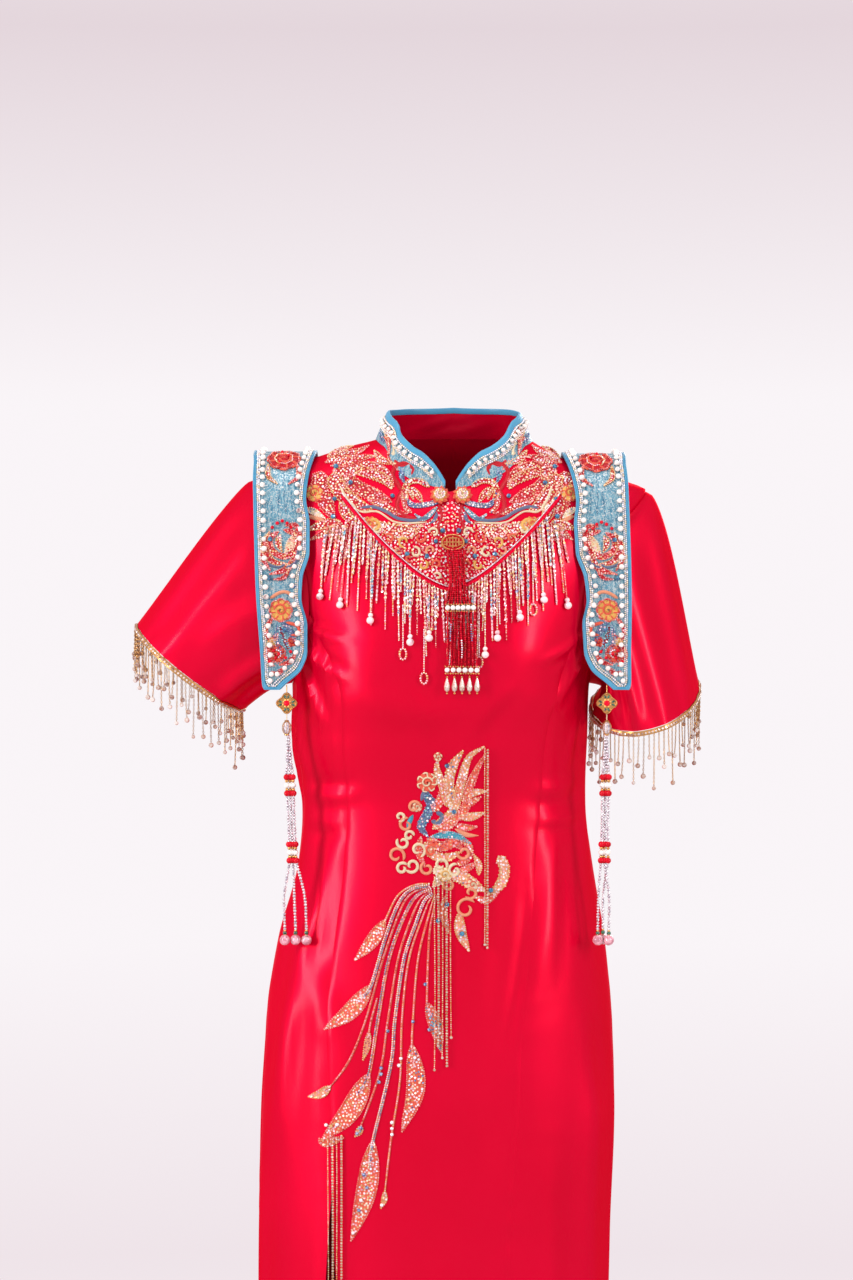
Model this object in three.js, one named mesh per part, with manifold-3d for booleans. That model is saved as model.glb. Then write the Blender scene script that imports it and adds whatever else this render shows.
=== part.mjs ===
// A worn wedding dress in the qipao cut, standing hollow in its wearer's pose: red satin
// body with princess seams, short flared sleeves, blue stand collar, two beaded blue
// shoulder panels, an embroidered yoke with bead fringe, a centre tassel and a phoenix
// spray on the skirt. Millimetres, +Z up. The front faces -Y and +X is the wearer's left.
// The origin is the middle of the neck between the tops of the shoulders.
import * as THREE from "three";
import { mergeVertices } from "three/addons/utils/BufferGeometryUtils.js";
import Module from "manifold-3d";

const wasm = await Module();
wasm.setup();

const CLOTH = 1.6; // satin with its backing
const SEAM = 0.15; // each piece stops this far short of a seam, which leaves 0.3
const HEM = -1340;
const DEG = Math.PI / 180;

// ---------------------------------------------------------------- the dress form

// Level sections of the dress, from the neck down. mid is the middle of the section, half
// its half width, front and back its depth before and behind the side seams, and turn how
// many degrees the front has turned to the wearer's left.
const BODY = [
  { z: 14, mid: 0, half: 64, front: 40, back: 48, turn: 0 },
  { z: 6, mid: 0, half: 80, front: 44, back: 52, turn: 0 },
  { z: -7, mid: 0, half: 111, front: 49, back: 58, turn: 0 },
  { z: -17.5, mid: -1, half: 141, front: 53, back: 64, turn: 0 },
  { z: -30, mid: -2, half: 178, front: 57, back: 70, turn: 0 },
  { z: -40, mid: -4, half: 203, front: 61, back: 76, turn: 0 },
  { z: -80, mid: -5, half: 192, front: 84, back: 88, turn: 0 },
  { z: -140, mid: -8, half: 172, front: 106, back: 98, turn: 0 },
  { z: -215, mid: -12, half: 158, front: 120, back: 100, turn: 3 },
  { z: -250, mid: -14, half: 152, front: 120, back: 97, turn: 4 },
  { z: -300, mid: -15, half: 148, front: 111, back: 90, turn: 2 },
  { z: -370, mid: -11, half: 142, front: 98, back: 82, turn: 0 },
  { z: -430, mid: -9, half: 148, front: 100, back: 92, turn: -3 },
  { z: -510, mid: -13, half: 164, front: 108, back: 112, turn: -4 },
  { z: -600, mid: -16, half: 173, front: 114, back: 121, turn: -5 },
  { z: -690, mid: -18, half: 176, front: 116, back: 118, turn: -4 },
  { z: -810, mid: -22, half: 174, front: 115, back: 112, turn: -4 },
  { z: HEM, mid: -26, half: 166, front: 114, back: 110, turn: -4 },
];
const SQUARE = 0.045; // how far the sections swell between front and side
const DROP = { by: 6, from: 70, to: 115 }; // the wearer's left shoulder stands lower
const BUST = { reach: 9, apart: 76, z: -212, wide: 50, tall: 60 };

// The largest folds of the worn cloth: soft ridges, or troughs where depth is negative.
// angle is where the fold crosses its middle, slant its drift in degrees for each 100 mm up.
const FOLDS = [
  { angle: -64, top: -240, bottom: -560, depth: 5, wide: 9, slant: 1 },
  { angle: -52, top: -500, bottom: -760, depth: 4, wide: 7, slant: 9 },
  { angle: -80, top: -560, bottom: -1300, depth: -5, wide: 7, slant: 0 },
  { angle: 66, top: -620, bottom: -1340, depth: 5, wide: 8, slant: -1 },
  { angle: 24, top: -440, bottom: -760, depth: -3, wide: 6, slant: 1 },
  { angle: 74, top: -230, bottom: -470, depth: 3, wide: 8, slant: 2 },
  { angle: 128, top: -480, bottom: -1300, depth: 5, wide: 10, slant: 0 },
  { angle: -136, top: -420, bottom: -1300, depth: 5, wide: 10, slant: -1 },
  { angle: 150, top: -270, bottom: -480, depth: -3, wide: 9, slant: 4 },
];

const clamp01 = (t) => Math.min(1, Math.max(0, t));
const smooth = (from, to, v) => {
  const t = clamp01((v - from) / (to - from));
  return t * t * (3 - 2 * t);
};
const lerp = (a, b, t) => a + (b - a) * t;

// A smooth curve through one column of a table, which never overshoots its rows.
function column(table, key, name) {
  const rows = [...table].sort((a, b) => a[key] - b[key]);
  const x = rows.map((r) => r[key]);
  const y = rows.map((r) => r[name]);
  const slope = x.slice(1).map((v, i) => (y[i + 1] - y[i]) / (v - x[i]));
  const tangent = y.map((_, i) => {
    const [l, r] = [slope[i - 1], slope[i]];
    if (l === undefined || r === undefined) return l ?? r;
    return l * r <= 0 ? 0 : (2 * l * r) / (l + r);
  });
  return (at) => {
    const v = Math.min(x[x.length - 1], Math.max(x[0], at));
    let i = 0;
    while (i < x.length - 2 && v > x[i + 1]) i++;
    const step = x[i + 1] - x[i];
    const t = (v - x[i]) / step;
    const [t2, t3] = [t * t, t * t * t];
    return (
      (2 * t3 - 3 * t2 + 1) * y[i] +
      (t3 - 2 * t2 + t) * step * tangent[i] +
      (3 * t2 - 2 * t3) * y[i + 1] +
      (t3 - t2) * step * tangent[i + 1]
    );
  };
}

const body = Object.fromEntries(
  ["mid", "half", "front", "back", "turn"].map((name) => [name, column(BODY, "z", name)]),
);
const swell = (a) => 1 + SQUARE * Math.sin(2 * a) ** 2;

const FOLD_FADE = 80; // how long a fold's ends take to fade out

function foldHeight(angle, z) {
  let sum = 0;
  for (const f of FOLDS) {
    const middle = (f.top + f.bottom) / 2;
    const off = (angle - f.angle - (f.slant * (z - middle)) / 100) / f.wide;
    const runsOut = f.bottom < HEM + FOLD_FADE; // through the hem
    const foot = runsOut ? 1 : smooth(f.bottom, f.bottom + FOLD_FADE, z);
    sum += f.depth * Math.exp(-off * off) * foot * (1 - smooth(f.top - FOLD_FADE, f.top, z));
  }
  return sum;
}

// A point of the dress's outer face. angle runs round the body in degrees from the centre
// front, 0, by the wearer's left side seam, 90, to the centre back, 180.
function formPoint(angle, z) {
  const a = (angle + body.turn(z)) * DEG;
  const depth = Math.cos(a) > 0 ? body.front(z) : body.back(z);
  const out = swell(a);
  const fold = foldHeight(angle, z);
  const side = (body.half(z) * out + fold) * Math.sin(a);
  let y = -(depth * out + fold) * Math.cos(a);
  for (const x of [-BUST.apart, BUST.apart]) {
    const r = ((side - x) / BUST.wide) ** 2 + ((z - BUST.z) / BUST.tall) ** 2;
    if (Math.cos(a) > 0) y -= BUST.reach * Math.exp(-r);
  }
  const drop = DROP.by * Math.sign(side) * smooth(DROP.from, DROP.to, Math.abs(side));
  const tilted = z - drop * smooth(-200, -60, z);
  return new THREE.Vector3(body.mid(z) + side, y, tilted);
}

function formNormal(angle, z) {
  const across = formPoint(angle + 0.5, z).sub(formPoint(angle - 0.5, z));
  const up = formPoint(angle, z + 1).sub(formPoint(angle, z - 1));
  return across.cross(up).normalize();
}

const onForm = (angle, z, lift = 0) =>
  formPoint(angle, z).addScaledVector(formNormal(angle, z), lift);

// ---------------------------------------------------------------- walls

// A closed wall from rows of outer points and the same rows of inner points. A ring's
// rows close on themselves, a panel's rows end in rims.
function wall(outer, inner, ring = false) {
  const rows = outer.length;
  const cols = outer[0].length;
  const points = [...outer.flat(), ...inner.flat()];
  const at = (side, r, c) => side * rows * cols + r * cols + (c % cols);
  const index = [];
  const quad = (a, b, c, d) => index.push(a, b, c, a, c, d);
  const last = ring ? cols : cols - 1;
  for (let r = 0; r < rows - 1; r++)
    for (let c = 0; c < last; c++) {
      quad(at(0, r, c), at(0, r, c + 1), at(0, r + 1, c + 1), at(0, r + 1, c));
      quad(at(1, r, c), at(1, r + 1, c), at(1, r + 1, c + 1), at(1, r, c + 1));
    }
  for (let c = 0; c < last; c++) {
    quad(at(1, 0, c), at(1, 0, c + 1), at(0, 0, c + 1), at(0, 0, c));
    quad(at(0, rows - 1, c), at(0, rows - 1, c + 1), at(1, rows - 1, c + 1), at(1, rows - 1, c));
  }
  if (!ring)
    for (let r = 0; r < rows - 1; r++) {
      quad(at(0, r, 0), at(0, r + 1, 0), at(1, r + 1, 0), at(1, r, 0));
      quad(at(0, r, last), at(1, r, last), at(1, r + 1, last), at(0, r + 1, last));
    }
  let volume = 0;
  for (let i = 0; i < index.length; i += 3) {
    const [a, b, c] = [0, 1, 2].map((k) => points[index[i + k]]);
    volume += a.dot(b.clone().cross(c));
  }
  if (volume < 0) index.reverse();
  const geometry = new THREE.BufferGeometry().setFromPoints(points);
  geometry.setIndex(index);
  geometry.computeVertexNormals();
  return geometry;
}

// Outward normals of a grid of points, from its neighbours.
function gridNormals(grid, ring) {
  const cols = grid[0].length;
  return grid.map((row, r) =>
    row.map((_, c) => {
      const left = ring ? row[(c + cols - 1) % cols] : row[Math.max(0, c - 1)];
      const right = ring ? row[(c + 1) % cols] : row[Math.min(cols - 1, c + 1)];
      const below = grid[Math.max(0, r - 1)][c];
      const above = grid[Math.min(grid.length - 1, r + 1)][c];
      return right.clone().sub(left).cross(above.clone().sub(below)).normalize();
    }),
  );
}
const offsetGrid = (grid, normals, by) =>
  grid.map((row, r) => row.map((p, c) => p.clone().addScaledVector(normals[r][c], by)));

// A cloth panel from a grid of {angle, z} places on the form. Its edges draw in to leave
// the gaps at its seams.
function panel(places) {
  const outer = places.map((row) => row.map((p) => onForm(p.angle, p.z, CLOTH)));
  const inner = places.map((row) => row.map((p) => onForm(p.angle, p.z)));
  const pull = (p, q) => p.addScaledVector(q.clone().sub(p).normalize(), SEAM);
  for (const grid of [outer, inner]) {
    const last = grid[0].length - 1;
    const end = grid.length - 1;
    for (const row of grid) {
      pull(row[0], row[1]);
      pull(row[last], row[last - 1]);
    }
    grid[0].forEach((p, c) => pull(p, grid[1][c]));
    grid[end].forEach((p, c) => pull(p, grid[end - 1][c]));
  }
  return wall(outer, inner);
}

const steps = (from, to, count) => Array.from({ length: count }, (_, i) => lerp(from, to, i / count));

// ---------------------------------------------------------------- colours

const finish = (color, roughness, metalness = 0) =>
  new THREE.MeshStandardMaterial({ color, roughness, metalness });
const RED_SATIN = finish("#d8041f", 0.4);
const BLUE_BROCADE = finish("#7fb6cf", 0.45, 0.2);
const BLUE_SATIN = finish("#3f93c2", 0.4);
const EMBROIDERY = finish("#e9b48c", 0.5, 0.2);
const GOLD = finish("#c9a04c", 0.3, 0.9);
const RED_BEADS = finish("#b00018", 0.25);
const PEARL = finish("#f3ece2", 0.25);
const CRYSTAL = finish("#f4e6e8", 0.1);

const dress = new THREE.Group();
function add(name, geometry, material, parent = dress) {
  const mesh = new THREE.Mesh(geometry, material);
  mesh.name = name;
  parent.add(mesh);
  return mesh;
}

// ---------------------------------------------------------------- seams and edges

const ARMHOLE = { bottom: -245, tip: -40, front: 38, back: 34 }; // front and back: degrees cut away
const NECK_SEAM_TOP = 6; // where the shoulder seam meets the collar
const LEVEL = { princess: -175, chest: -75, side: -300 };
const SLIT = { top: -755, open: 70 }; // in the wearer's right princess seam

// How far the armhole is cut from the side line at a height, and back again.
function armholeCut(z, depth) {
  const u = clamp01((z - ARMHOLE.bottom) / (ARMHOLE.tip - ARMHOLE.bottom));
  return depth * 2 * Math.sqrt(u * (1 - u));
}
function armholeHeight(cut, depth) {
  const u = (1 - Math.sqrt(1 - Math.min(1, cut / depth) ** 2)) / 2;
  return lerp(ARMHOLE.bottom, ARMHOLE.tip, u);
}

const PRINCESS = [
  { z: LEVEL.princess, angle: 90 - armholeCut(LEVEL.princess, ARMHOLE.front) },
  { z: -200, angle: 50 },
  { z: -240, angle: 44.5 },
  { z: -300, angle: 41 },
  { z: -370, angle: 40 },
  { z: -430, angle: 38 },
  { z: -510, angle: 35 },
  { z: -600, angle: 33 },
  { z: -755, angle: 30 },
  { z: HEM, angle: 29.5 },
];
const princess = column(PRINCESS, "z", "angle");

// The height of the neck seam round the neck.
const NECKLINE = [
  { angle: 0, z: -50 },
  { angle: 11, z: -38 },
  { angle: 22, z: -23 },
  { angle: 34, z: -9 },
  { angle: 45, z: -2 },
  { angle: 68, z: 4 },
  { angle: 90, z: NECK_SEAM_TOP },
  { angle: 135, z: 10 },
  { angle: 180, z: 12 },
];
const neckline = column(NECKLINE, "angle", "z");

// Half of what the slit stands open at a height, in degrees of the section.
const slitAngle = (z) => (SLIT.open / 2) * clamp01((SLIT.top - z) / (SLIT.top - HEM)) / body.half(z) / DEG;

// The level rows that the skirt's and bodice's pieces share, and the curved rows above the chest.
const SKIRT_ROWS = [
  ...steps(HEM, SLIT.top, 3),
  ...steps(SLIT.top, -430, 5),
  ...steps(-430, LEVEL.side, 4),
];
const REAR_ROWS = [0, 4, 14, 34, 66, 110].map((rise) => ARMHOLE.bottom + rise);
const UNDERARM_STEPS = 4;
const FRONT_ACROSS = 16;
const BACK_ACROSS = 7;
const YOKE_STEPS = [0, 0.22, (ARMHOLE.tip - LEVEL.chest) / (NECK_SEAM_TOP - LEVEL.chest), 0.62, 0.8, 1];

// ---------------------------------------------------------------- front and back

// Rows of the centre front and of the back: level up to the chest, then bending to the neckline.
function bodiceRows(bust) {
  const level = [...SKIRT_ROWS, ...bust].map((z) => ({ edge: z, at: () => z }));
  const bent = YOKE_STEPS.map((t) => ({
    edge: lerp(LEVEL.chest, NECK_SEAM_TOP, t),
    at: (angle) => lerp(LEVEL.chest, neckline(Math.abs(angle)), t),
  }));
  return [...level, ...bent];
}

function centreFront(slit = slitAngle) {
  const bust = [...steps(LEVEL.side, LEVEL.princess, UNDERARM_STEPS), ...steps(LEVEL.princess, LEVEL.chest, 4)];
  const across = FRONT_ACROSS;
  return bodiceRows(bust).map((row) => {
    const z = row.edge;
    const cut = z > LEVEL.princess ? 90 - armholeCut(z, ARMHOLE.front) : princess(z);
    const half = z >= ARMHOLE.tip ? 90 : cut;
    return Array.from({ length: across + 1 }, (_, i) => {
      const s = (2 * i) / across - 1;
      const edge = s < 0 ? half - slit(z) : half;
      return { angle: s * edge, z: row.at(s * 90) };
    });
  });
}

// One side front, from its princess seam to the side seam, with the underarm cut at its top.
function sideFront(sign, slit = slitAngle) {
  const across = 5;
  const rows = SKIRT_ROWS.map((z) => ({ seam: z, at: () => z }));
  const topAt = (s) => armholeHeight((1 - s) * (90 - PRINCESS[0].angle), ARMHOLE.front);
  for (let i = 0; i <= UNDERARM_STEPS; i++) {
    const t = i / UNDERARM_STEPS;
    rows.push({ seam: lerp(LEVEL.side, LEVEL.princess, t), at: (s) => lerp(LEVEL.side, topAt(s), t) });
  }
  return rows.map((row) =>
    Array.from({ length: across + 1 }, (_, i) => {
      const s = i / across;
      const open = sign < 0 ? slit(row.seam) : 0;
      return { angle: sign * lerp(princess(row.seam) + open, 90, s), z: row.at(s) };
    }),
  );
}

function back(sign) {
  const rows = bodiceRows([...steps(LEVEL.side, ARMHOLE.bottom, UNDERARM_STEPS), ...REAR_ROWS]);
  const across = BACK_ACROSS;
  return rows.map((row) => {
    const z = row.edge;
    const edge = z > ARMHOLE.bottom && z < ARMHOLE.tip ? 90 + armholeCut(z, ARMHOLE.back) : 90;
    return Array.from({ length: across + 1 }, (_, i) => {
      const s = i / across;
      return { angle: sign * lerp(180, edge, s), z: row.at(180 - 90 * s) };
    });
  });
}

add("front_centre", panel(centreFront()), RED_SATIN);
for (const [side, sign] of [["right", -1], ["left", 1]]) {
  add(`front_side_${side}`, panel(sideFront(sign)), RED_SATIN);
  add(`back_${side}`, panel(back(sign)), RED_SATIN);
}

// ---------------------------------------------------------------- sleeves

// Each hem is an oval: centre, the reach from it to the outer corner, and the reach to the
// front. The wearer's right arm was held out, hand on hip, and the left arm hung down.
const SLEEVES = {
  right: { sign: -1, centre: [-272, 4, -226], corner: [-56, 0, 44], front: [-4, -68, -8], bulge: 5 },
  left: { sign: 1, centre: [200, 4, -258], corner: [55, 0, 8], front: [-8, -64, -34], bulge: 9 },
};
const SLEEVE_RINGS = 7;

// The armhole as places on the form with the angle round it: 0 under the arm, 180 at the
// tip of the shoulder, the front half first.
function armhole() {
  const middle = (ARMHOLE.bottom + ARMHOLE.tip) / 2;
  const tall = (ARMHOLE.tip - ARMHOLE.bottom) / 2;
  const turn = (z) => Math.acos(Math.max(-1, Math.min(1, (middle - z) / tall)));
  const front = [];
  for (let i = 5; i >= 0; i--) {
    const cut = (1 - i / 5) * (90 - PRINCESS[0].angle);
    front.push(armholeHeight(cut, ARMHOLE.front));
  }
  front.push(...steps(LEVEL.princess, LEVEL.chest, 4).slice(1));
  front.push(...YOKE_STEPS.slice(0, 3).map((t) => lerp(LEVEL.chest, NECK_SEAM_TOP, t)));
  const rear = [...REAR_ROWS.slice(1), LEVEL.chest];
  rear.push(lerp(LEVEL.chest, NECK_SEAM_TOP, YOKE_STEPS[1]));
  return [
    ...front.map((z) => ({ z, angle: 90 - armholeCut(z, ARMHOLE.front), round: turn(z) })),
    ...rear.reverse().map((z) => ({ z, angle: 90 + armholeCut(z, ARMHOLE.back), round: -turn(z) })),
  ];
}

function sleeveGrid({ sign, centre, corner, front, bulge }) {
  const [c, up, fore] = [centre, corner, front].map((v) => new THREE.Vector3(...v));
  const places = armhole();
  const seam = places.map(({ z, angle }) => onForm(sign * angle, z, CLOTH));
  const middle = new THREE.Vector3();
  seam.forEach((p) => middle.addScaledVector(p, 1 / seam.length));
  const grid = [];
  for (let r = 0; r <= SLEEVE_RINGS; r++) {
    const t = r / SLEEVE_RINGS;
    grid.push(
      places.map(({ z, angle, round }, i) => {
        const rim = formNormal(sign * angle, z);
        const away = middle.clone().sub(seam[i]).projectOnPlane(rim).normalize();
        const end = c.clone().addScaledVector(up, -Math.cos(round)).addScaledVector(fore, Math.sin(round));
        const under = (1 + Math.cos(round)) / 2;
        const side = new THREE.Vector3(sign * (bulge + 5 * under), 0, 3 * (1 - under));
        return seam[i]
          .clone()
          .addScaledVector(away, 3 * SEAM)
          .lerp(end, t)
          .addScaledVector(side, Math.sin(Math.PI * Math.sqrt(t)));
      }),
    );
  }
  return { grid, places };
}

function sleeve(spec) {
  const { grid, places } = sleeveGrid(spec);
  const normals = gridNormals(grid, true);
  normals.flat().forEach((n) => n.multiplyScalar(-spec.sign)); // the two sides run opposite ways
  // At the seam the wall lies as the panel's edge does, turning to its own way under the arm.
  places.forEach(({ z, angle, round }, i) => {
    const tip = (1 - Math.cos(round)) / 2;
    const rim = formNormal(spec.sign * angle, z);
    normals[0][i].multiplyScalar(1 - tip).addScaledVector(rim, tip).normalize();
  });
  return { outer: grid, inner: offsetGrid(grid, normals, -CLOTH), normals };
}

// A ring of wall that hangs straight down from a ring of points round a centre.
function hangingRing(top, { long, thick }, centre) {
  const lower = top.map((p) => p.clone().setZ(p.z - long));
  const inward = (p) => {
    const way = new THREE.Vector3(centre.x - p.x, centre.y - p.y, 0).normalize();
    return p.clone().addScaledVector(way, thick);
  };
  return wall([top, lower], [top.map(inward), lower.map(inward)], true);
}

const TRIM = { tall: 5, thick: 2, gap: 0.7, proud: 0.2 };
const SLEEVE_FRINGE = { long: 44, thick: 1.6 };

for (const [side, spec] of Object.entries(SLEEVES)) {
  const { outer, inner, normals } = sleeve(spec);
  add(`sleeve_${side}`, wall(outer, inner, true), RED_SATIN);
  const end = outer.length - 1;
  const centre = new THREE.Vector3(...spec.centre);
  const count = outer[end].length;
  const way = outer[end].map((p, i) => {
    const along = outer[end][(i + 1) % count].clone().sub(outer[end][(i + count - 1) % count]).normalize();
    return p.clone().sub(outer[end - 1][i]).projectOnPlane(along).normalize();
  });
  const edge = (by) => outer[end].map((p, i) => p.clone().addScaledVector(way[i], by));
  const rows = [edge(TRIM.gap), edge(TRIM.gap + TRIM.tall)];
  const trimNormals = [normals[end], normals[end]];
  const outside = offsetGrid(rows, trimNormals, TRIM.proud);
  const inside = offsetGrid(rows, trimNormals, TRIM.proud - TRIM.thick);
  add(`sleeve_trim_${side}`, wall(outside, inside, true), GOLD);
  const low = outside[1].map((p, i) => {
    const q = inside[1][i];
    return p.clone().lerp(q, 0.5).setZ(Math.min(p.z, q.z) - 0.4);
  });
  add(`sleeve_fringe_${side}`, hangingRing(low, SLEEVE_FRINGE, centre), GOLD);
}

// ---------------------------------------------------------------- collar

// The stand collar round the neck: how tall it stands and how far it leans in.
const COLLAR = [
  { angle: 1.6, tall: 9, lean: 3 },
  { angle: 3, tall: 15, lean: 5 },
  { angle: 6, tall: 24, lean: 8 },
  { angle: 11, tall: 31, lean: 10 },
  { angle: 22, tall: 30, lean: 11 },
  { angle: 45, tall: 27, lean: 12 },
  { angle: 90, tall: 30, lean: 13 },
  { angle: 180, tall: 31, lean: 10 },
];
const COLLAR_THICK = 2.2;
const BINDING = 5.5; // how wide the satin edge binding shows
const collarTall = column(COLLAR, "angle", "tall");
const collarLean = column(COLLAR, "angle", "lean");
// The neck seam has a point for each column of the front and the back; the front ends of
// the collar have some between them.
const NECK_KNOTS = [...steps(0, 90, FRONT_ACROSS / 2), ...steps(90, 180, BACK_ACROSS), 180];
const COLLAR_ANGLES = [1.6, 3.4, 5.6, 8, ...NECK_KNOTS.slice(1)];

function neckSeam(angle) {
  const size = Math.abs(angle);
  const i = NECK_KNOTS.findIndex((knot) => knot >= size);
  const [a, b] = [NECK_KNOTS[i - 1], NECK_KNOTS[i]];
  const at = (knot) => onForm(Math.sign(angle) * knot, neckline(knot), CLOTH);
  return at(a).lerp(at(b), (size - a) / (b - a));
}

function collarPoint(angle, height, inward) {
  const base = neckSeam(angle);
  const out = new THREE.Vector3(base.x, base.y, 0).normalize();
  const share = height / collarTall(Math.abs(angle));
  const lean = collarLean(Math.abs(angle)) * share + inward;
  return base.addScaledVector(out, -lean).add(new THREE.Vector3(0, 0, 0.5 + height));
}

function collarBand(from, to, thick, shares) {
  const angles = [...COLLAR_ANGLES.map((a) => -a), ...COLLAR_ANGLES.slice(0, -1).reverse()];
  const row = (height, inward) => angles.map((a) => collarPoint(a, height(Math.abs(a)), inward));
  const rows = (inward) => shares.map((s) => row((a) => lerp(from(a), to(a), s), inward));
  return wall(rows(-(thick - COLLAR_THICK) / 2), rows(COLLAR_THICK + (thick - COLLAR_THICK) / 2));
}
const bindingFoot = (a) => Math.max(2.5, collarTall(a) - BINDING);
add("collar", collarBand(() => 0, (a) => bindingFoot(a) - 0.3, COLLAR_THICK, [0, 0.5, 1]), BLUE_BROCADE);
add("collar_binding", collarBand(bindingFoot, collarTall, COLLAR_THICK + 0.8, [0, 1]), BLUE_SATIN);

// ---------------------------------------------------------------- laid on the front

function solidOf(geometry) {
  const bare = geometry.clone();
  bare.deleteAttribute("normal");
  bare.deleteAttribute("uv");
  const { attributes, index } = mergeVertices(bare);
  const triVerts = Uint32Array.from(index.array);
  const vertProperties = attributes.position.array;
  return new wasm.Manifold(new wasm.Mesh({ numProp: 3, vertProperties, triVerts }));
}
function geometryOf(solid) {
  const { vertProperties, triVerts } = solid.getMesh();
  const geometry = new THREE.BufferGeometry();
  geometry.setAttribute("position", new THREE.BufferAttribute(vertProperties, 3));
  return geometry.setIndex([...triVerts]);
}
const joined = (...geometries) => geometryOf(geometries.map(solidOf).reduce((sum, s) => sum.add(s)));

// The front's points, lifted off it: the bodice's from the bust up, and the skirt's with its
// side fronts and without its slit.
const closed = () => 0;
const bodiceFace = (lift) =>
  centreFront(closed)
    .slice(SKIRT_ROWS.length)
    .map((row) => row.map((p) => onForm(p.angle, p.z, lift)));
const skirtFace = (lift) => {
  const [right, middle, left] = [sideFront(-1, closed), centreFront(closed), sideFront(1, closed)];
  return SKIRT_ROWS.concat(LEVEL.side).map((_, r) =>
    [...[...right[r]].reverse().slice(0, -1), ...middle[r], ...left[r].slice(1)].map((p) =>
      onForm(p.angle, p.z, lift),
    ),
  );
};

// A piece of even thickness on a face of the front, with outlines given in x and z.
const PRISM = { depth: 300, bevelEnabled: false, curveSegments: 4 };
function laid(face, lift, thick, shapes) {
  const slab = solidOf(wall(face(lift + thick), face(lift)));
  const prisms = shapes.map((shape) => solidOf(new THREE.ExtrudeGeometry(shape, PRISM).rotateX(Math.PI / 2)));
  return geometryOf(prisms.reduce((sum, s) => sum.add(s)).intersect(slab));
}

// Where a line along Y at x and z meets a face, and which way the face looks there.
function seat(grid, x, z) {
  for (let r = 0; r < grid.length - 1; r++)
    for (let c = 0; c < grid[0].length - 1; c++) {
      const [a, b, d, e] = [grid[r][c], grid[r][c + 1], grid[r + 1][c + 1], grid[r + 1][c]];
      for (const [p, q, s] of [[a, b, d], [a, d, e]]) {
        const area = (q.x - p.x) * (s.z - p.z) - (s.x - p.x) * (q.z - p.z);
        const u = ((x - p.x) * (s.z - p.z) - (s.x - p.x) * (z - p.z)) / area;
        const v = ((q.x - p.x) * (z - p.z) - (x - p.x) * (q.z - p.z)) / area;
        if (u < -1e-6 || v < -1e-6 || u + v > 1 + 1e-6) continue;
        const [side, up] = [q.clone().sub(p), s.clone().sub(p)];
        const point = p.clone().addScaledVector(side, u).addScaledVector(up, v);
        return { point, normal: side.cross(up).normalize() };
      }
    }
  throw new Error(`the face has no point at ${x}, ${z}`);
}
const BODICE = bodiceFace(CLOTH);
const onBodice = (x, z, lift) => {
  const { point, normal } = seat(BODICE, x, z);
  return point.addScaledVector(normal, lift);
};

const outline = (points) => new THREE.Shape(points.map(([x, z]) => new THREE.Vector2(x, z)));

// A round cord along points, as a six-sided tube.
function cordAlong(points, radius) {
  const path = new THREE.CatmullRomCurve3(points);
  const shape = new THREE.Shape().absarc(0, 0, radius, 0, 2 * Math.PI);
  return new THREE.ExtrudeGeometry(shape, {
    steps: points.length + 3,
    curveSegments: 3,
    extrudePath: path,
    bevelEnabled: false,
  });
}

// ---------------------------------------------------------------- yoke

// The yoke's V, and the sprays beyond it that end at the shoulder panels.
const YOKE = { middle: -4, tip: -148, rise: 98, round: 1.9, wingFoot: -106, thick: 1.2, lift: 0.35 };
const YOKE_SIDES = { right: { sign: -1, half: 112, wing: 134 }, left: { sign: 1, half: 113, wing: 118 } };
const YOKE_CORD = { radius: 1.4, below: 3 };
const YOKE_FRINGE = { below: 6, lift: 0.5, thick: 2 };
// Where the bead fringe ends, from the middle of the yoke to its side.
const FRINGE_END = [
  { off: 0, z: -226 },
  { off: 40, z: -206 },
  { off: 80, z: -183 },
  { off: 115, z: -167 },
  { off: 136, z: -158 },
];
const fringeEnd = column(FRINGE_END, "off", "z");
const yokeFoot = (off, half) => YOKE.tip + YOKE.rise * (off / half) ** YOKE.round;
const yokeTop = (off) => -60 + 46 * smooth(6, 84, off) - 20 * smooth(84, 134, off);

for (const [side, { sign, half, wing }] of Object.entries(YOKE_SIDES)) {
  const x = (off) => YOKE.middle + sign * off;
  const offs = [0.6, ...steps(0, half, 8).slice(1), half];
  const foot = offs.map((off) => [x(off), yokeFoot(off, half)]);
  const spray = [[x(half + 3), YOKE.wingFoot + 12], [x(half + 6), YOKE.wingFoot]];
  const top = [wing, 104, 84, 64, 44, 24, 12, 0.6].map((off) => [x(off), yokeTop(off)]);
  const patch = laid(bodiceFace, CLOTH + YOKE.lift, YOKE.thick, [outline([...foot, ...spray, ...top])]);
  add(`yoke_${side}`, patch, EMBROIDERY);

  const line = [3, 20, 38, 56, 74, 90, 102, half - 4].map((off) =>
    onBodice(x(off), yokeFoot(off, half) - YOKE_CORD.below, YOKE_CORD.radius + 0.45),
  );
  add(`yoke_cord_${side}`, cordAlong(line, YOKE_CORD.radius), RED_SATIN);

  const fringe = offs.map((off) => [x(off), Math.min(yokeFoot(off, half) - YOKE_FRINGE.below, -70)]);
  const ends = [...offs].reverse().map((off) => [x(off), fringeEnd(off)]);
  const hanging = laid(bodiceFace, CLOTH + YOKE_FRINGE.lift, YOKE_FRINGE.thick, [outline([...fringe, ...ends])]);
  add(`yoke_fringe_${side}`, hanging, CRYSTAL);
}

// ---------------------------------------------------------------- rosettes

// A turned solid round Z, from its radius and height at each step.
const turned = (profile, segments) =>
  new THREE.LatheGeometry(profile.map(([r, h]) => new THREE.Vector2(r, h)), segments).rotateX(Math.PI / 2);

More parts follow.
